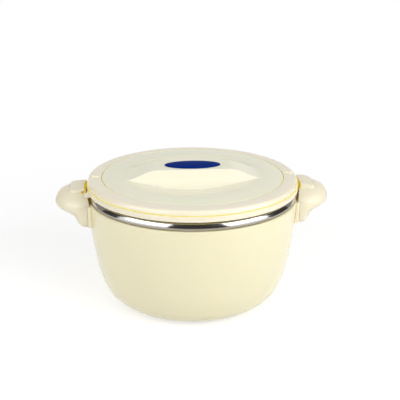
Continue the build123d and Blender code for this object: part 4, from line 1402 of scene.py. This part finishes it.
class CASSEROLE_OT_stage(bpy.types.Operator):
    """Set the floor, the soft lights, the dark cards and the camera"""

    bl_idname = "casserole.stage"
    bl_label = "Stage"

    def execute(self, context):
        stage = context.scene.casserole_stage
        self.floor(stage)
        self.world(context.scene, stage)
        self.lights(stage)
        self.cards(stage)
        self.camera(context.scene, stage)
        context.scene.view_settings.view_transform = "Standard"
        return {"FINISHED"}

    def floor(self, stage):
        """Pale floor that goes over to plain white away from the object."""
        floor = new_piece("floor", bpy.ops.mesh.primitive_plane_add, size=stage.floor_size)
        material, tree, place_on = start_material("Matt_Studio_Paper")
        seen = background_only(tree)
        # paper grain of about 2.5 mm, hardly raised
        grain = add_node(tree, "TexNoise", {"Vector": place_on, "Scale": 1 / (2.5 * MM), "Detail": 2.0})
        bump = add_node(tree, "Bump", {"Height": grain.outputs["Fac"], "Distance": 0.02 * MM})
        matt = {"Color": stage.floor, "Roughness": 0.0, "Normal": bump.outputs["Normal"]}
        paper = add_node(tree, "BsdfDiffuse", matt)
        lift = add_node(tree, "Math", {0: seen, 1: stage.floor_lift}, operation="MULTIPLY")
        glow = add_node(tree, "Emission", {"Strength": lift.outputs[0]})
        near = add_node(tree, "AddShader", {0: paper.outputs[0], 1: glow.outputs[0]})
        distance = add_node(tree, "VectorMath", {0: place_on}, operation="LENGTH").outputs["Value"]
        reach = {"Value": distance, "From Min": stage.fade_start, "From Max": stage.fade_end}
        away = add_node(tree, "MapRange", reach, interpolation_type="SMOOTHSTEP")
        fade = add_node(tree, "Math", {0: away.outputs["Result"], 1: seen}, operation="MULTIPLY")
        white = add_node(tree, "Emission", {"Strength": 1.0})
        shaders = {0: fade.outputs[0], 1: near.outputs[0], 2: white.outputs[0]}
        floor.data.materials.append(end_material(material, add_node(tree, "MixShader", shaders)))

    def world(self, scene, stage):
        """White background that lights the object less than it shows."""
        world = bpy.data.worlds.new("Studio_World")
        scene.world = world
        world.use_nodes = True
        tree = world.node_tree
        tree.nodes.clear()
        levels = {"Value": background_only(tree), "To Min": stage.ambient, "To Max": 1.0}
        strength = add_node(tree, "MapRange", levels).outputs["Result"]
        back = add_node(tree, "Background", {"Color": WHITE, "Strength": strength})
        add_node(tree, "OutputWorld", {"Surface": back.outputs[0]})

    def lights(self, stage):
        """Two upright soft boxes, one on each side of the camera."""
        soft_boxes = (
            ("soft_box_right", stage.right_box_turn, stage.right_box_power, stage.right_box_width),
            ("soft_box_left", stage.left_box_turn, stage.left_box_power, stage.left_box_width),
        )
        reach = stage.box_distance * cos(stage.box_elevation)
        height = BOX_AIM + stage.box_distance * sin(stage.box_elevation)
        for name, turn, watts, width in soft_boxes:
            bpy.ops.object.light_add(type="AREA")
            lamp = bpy.context.object
            lamp.name = name
            lamp.data.shape = "RECTANGLE"
            lamp.data.size, lamp.data.size_y = width, stage.box_height
            lamp.data.energy = watts
            lamp.location = (reach * sin(turn), -reach * cos(turn), height)
            lamp.rotation_euler = (pi / 2 - stage.box_elevation, 0, turn)

    def cards(self, stage):
        """Dark and grey cards that only mirrors see, between and beside the soft boxes."""
        dark = self.card_material("Matt_Dark_Card", DARK_CARD)
        grey = self.card_material("Matt_Grey_Card", GREY_CARD)
        grid = {"x_subdivisions": 1, "y_subdivisions": 2, "size": 1.0}
        for name, material, start, end in (
            ("card_front", dark, stage.front_card_start, stage.front_card_end),
            ("card_right", dark, stage.right_card_start, stage.right_card_end),
            ("card_left", dark, stage.left_card_start, stage.left_card_end),
            ("card_right_grey", grey, stage.right_card_end, stage.right_grey_end),
            ("card_left_grey", grey, stage.left_grey_start, stage.left_card_start),
        ):
            card = new_piece(name, bpy.ops.mesh.primitive_grid_add, **grid)
            for i, vertex in enumerate(card.data.vertices):
                reach, height = CARD_PROFILE[i // 2]
                turn = end if i % 2 else start
                vertex.co = (reach * sin(turn), -reach * cos(turn), height)
            card.data.materials.append(material)
            for ray in ("camera", "diffuse", "shadow", "transmission"):
                setattr(card, f"visible_{ray}", False)

    def card_material(self, name, tone):
        """Card lit by itself, so that its tone doesn't change with the lamps."""
        material, tree, place_on = start_material(name)
        # a coarse weave of about 3 mm
        shade = drift(tree, place_on, 10 / 3 * MM, (0.9 * tone, 1.1 * tone))
        return end_material(material, add_node(tree, "Emission", {"Color": WARM_WHITE, "Strength": shade}))

    def camera(self, scene, stage):
        """Camera that looks at the lid's groove from the front and a little from the left."""
        bpy.ops.object.camera_add()
        camera = bpy.context.object
        camera.name = "camera"
        groove = Vector((0, 0, (COVER_HIGH.z + RING_LOW.z) / 2 + CAMERA_AIM))
        back, up = cos(stage.camera_elevation), sin(stage.camera_elevation)
        direction = Vector((-sin(stage.camera_turn) * back, -cos(stage.camera_turn) * back, up))
        camera.location = groove + direction * stage.camera_distance
        look_down = stage.camera_elevation + stage.camera_pitch
        camera.rotation_euler = (pi / 2 - look_down, 0, -stage.camera_turn)
        camera.data.lens = stage.focal_pixels / stage.frame_pixels * camera.data.sensor_width
        camera.data.shift_x = 0.5 - stage.middle_pixel / stage.frame_pixels
        scene.camera = camera


class CASSEROLE_PT_panel(bpy.types.Panel):
    """Builds the casserole piece by piece"""

    bl_label = "Casserole"
    bl_idname = "CASSEROLE_PT_panel"
    bl_space_type = "VIEW_3D"
    bl_region_type = "UI"
    bl_category = "Casserole"

    def draw(self, context):
        """List the operators in the order that main() calls them."""
        for operator in OPERATORS:
            self.layout.operator(operator.bl_idname)


OPERATORS = (
    CASSEROLE_OT_bowl,
    CASSEROLE_OT_liner,
    CASSEROLE_OT_base,
    CASSEROLE_OT_brackets,
    CASSEROLE_OT_ears,
    CASSEROLE_OT_lock_caps,
    CASSEROLE_OT_seal,
    CASSEROLE_OT_lid_cover,
    CASSEROLE_OT_lid_ring,
    CASSEROLE_OT_lid_panel,
    CASSEROLE_OT_badge,
    CASSEROLE_OT_inner_parts,
    CASSEROLE_OT_stage,
)
GROUPS = {
    "casserole_pot": CasserolePotSizes,
    "casserole_ears": CasseroleEarSizes,
    "casserole_lid": CasseroleLidSizes,
    "casserole_colours": CasseroleColours,
    "casserole_stage": CasseroleStage,
}


def register():
    """Register the classes and give the scene its groups of sizes."""
    for cls in (*GROUPS.values(), *OPERATORS, CASSEROLE_PT_panel):
        bpy.utils.register_class(cls)
    for name, group in GROUPS.items():
        setattr(bpy.types.Scene, name, PointerProperty(type=group))


def unregister():
    """Take both away again."""
    for name in GROUPS:
        delattr(bpy.types.Scene, name)
    for cls in reversed((*GROUPS.values(), *OPERATORS, CASSEROLE_PT_panel)):
        bpy.utils.unregister_class(cls)


def main():
    """Register the add-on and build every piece."""
    register()
    for operator in OPERATORS:
        family, name = operator.bl_idname.split(".")
        getattr(getattr(bpy.ops, family), name)()
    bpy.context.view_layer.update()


if __name__ == "__main__":
    main()
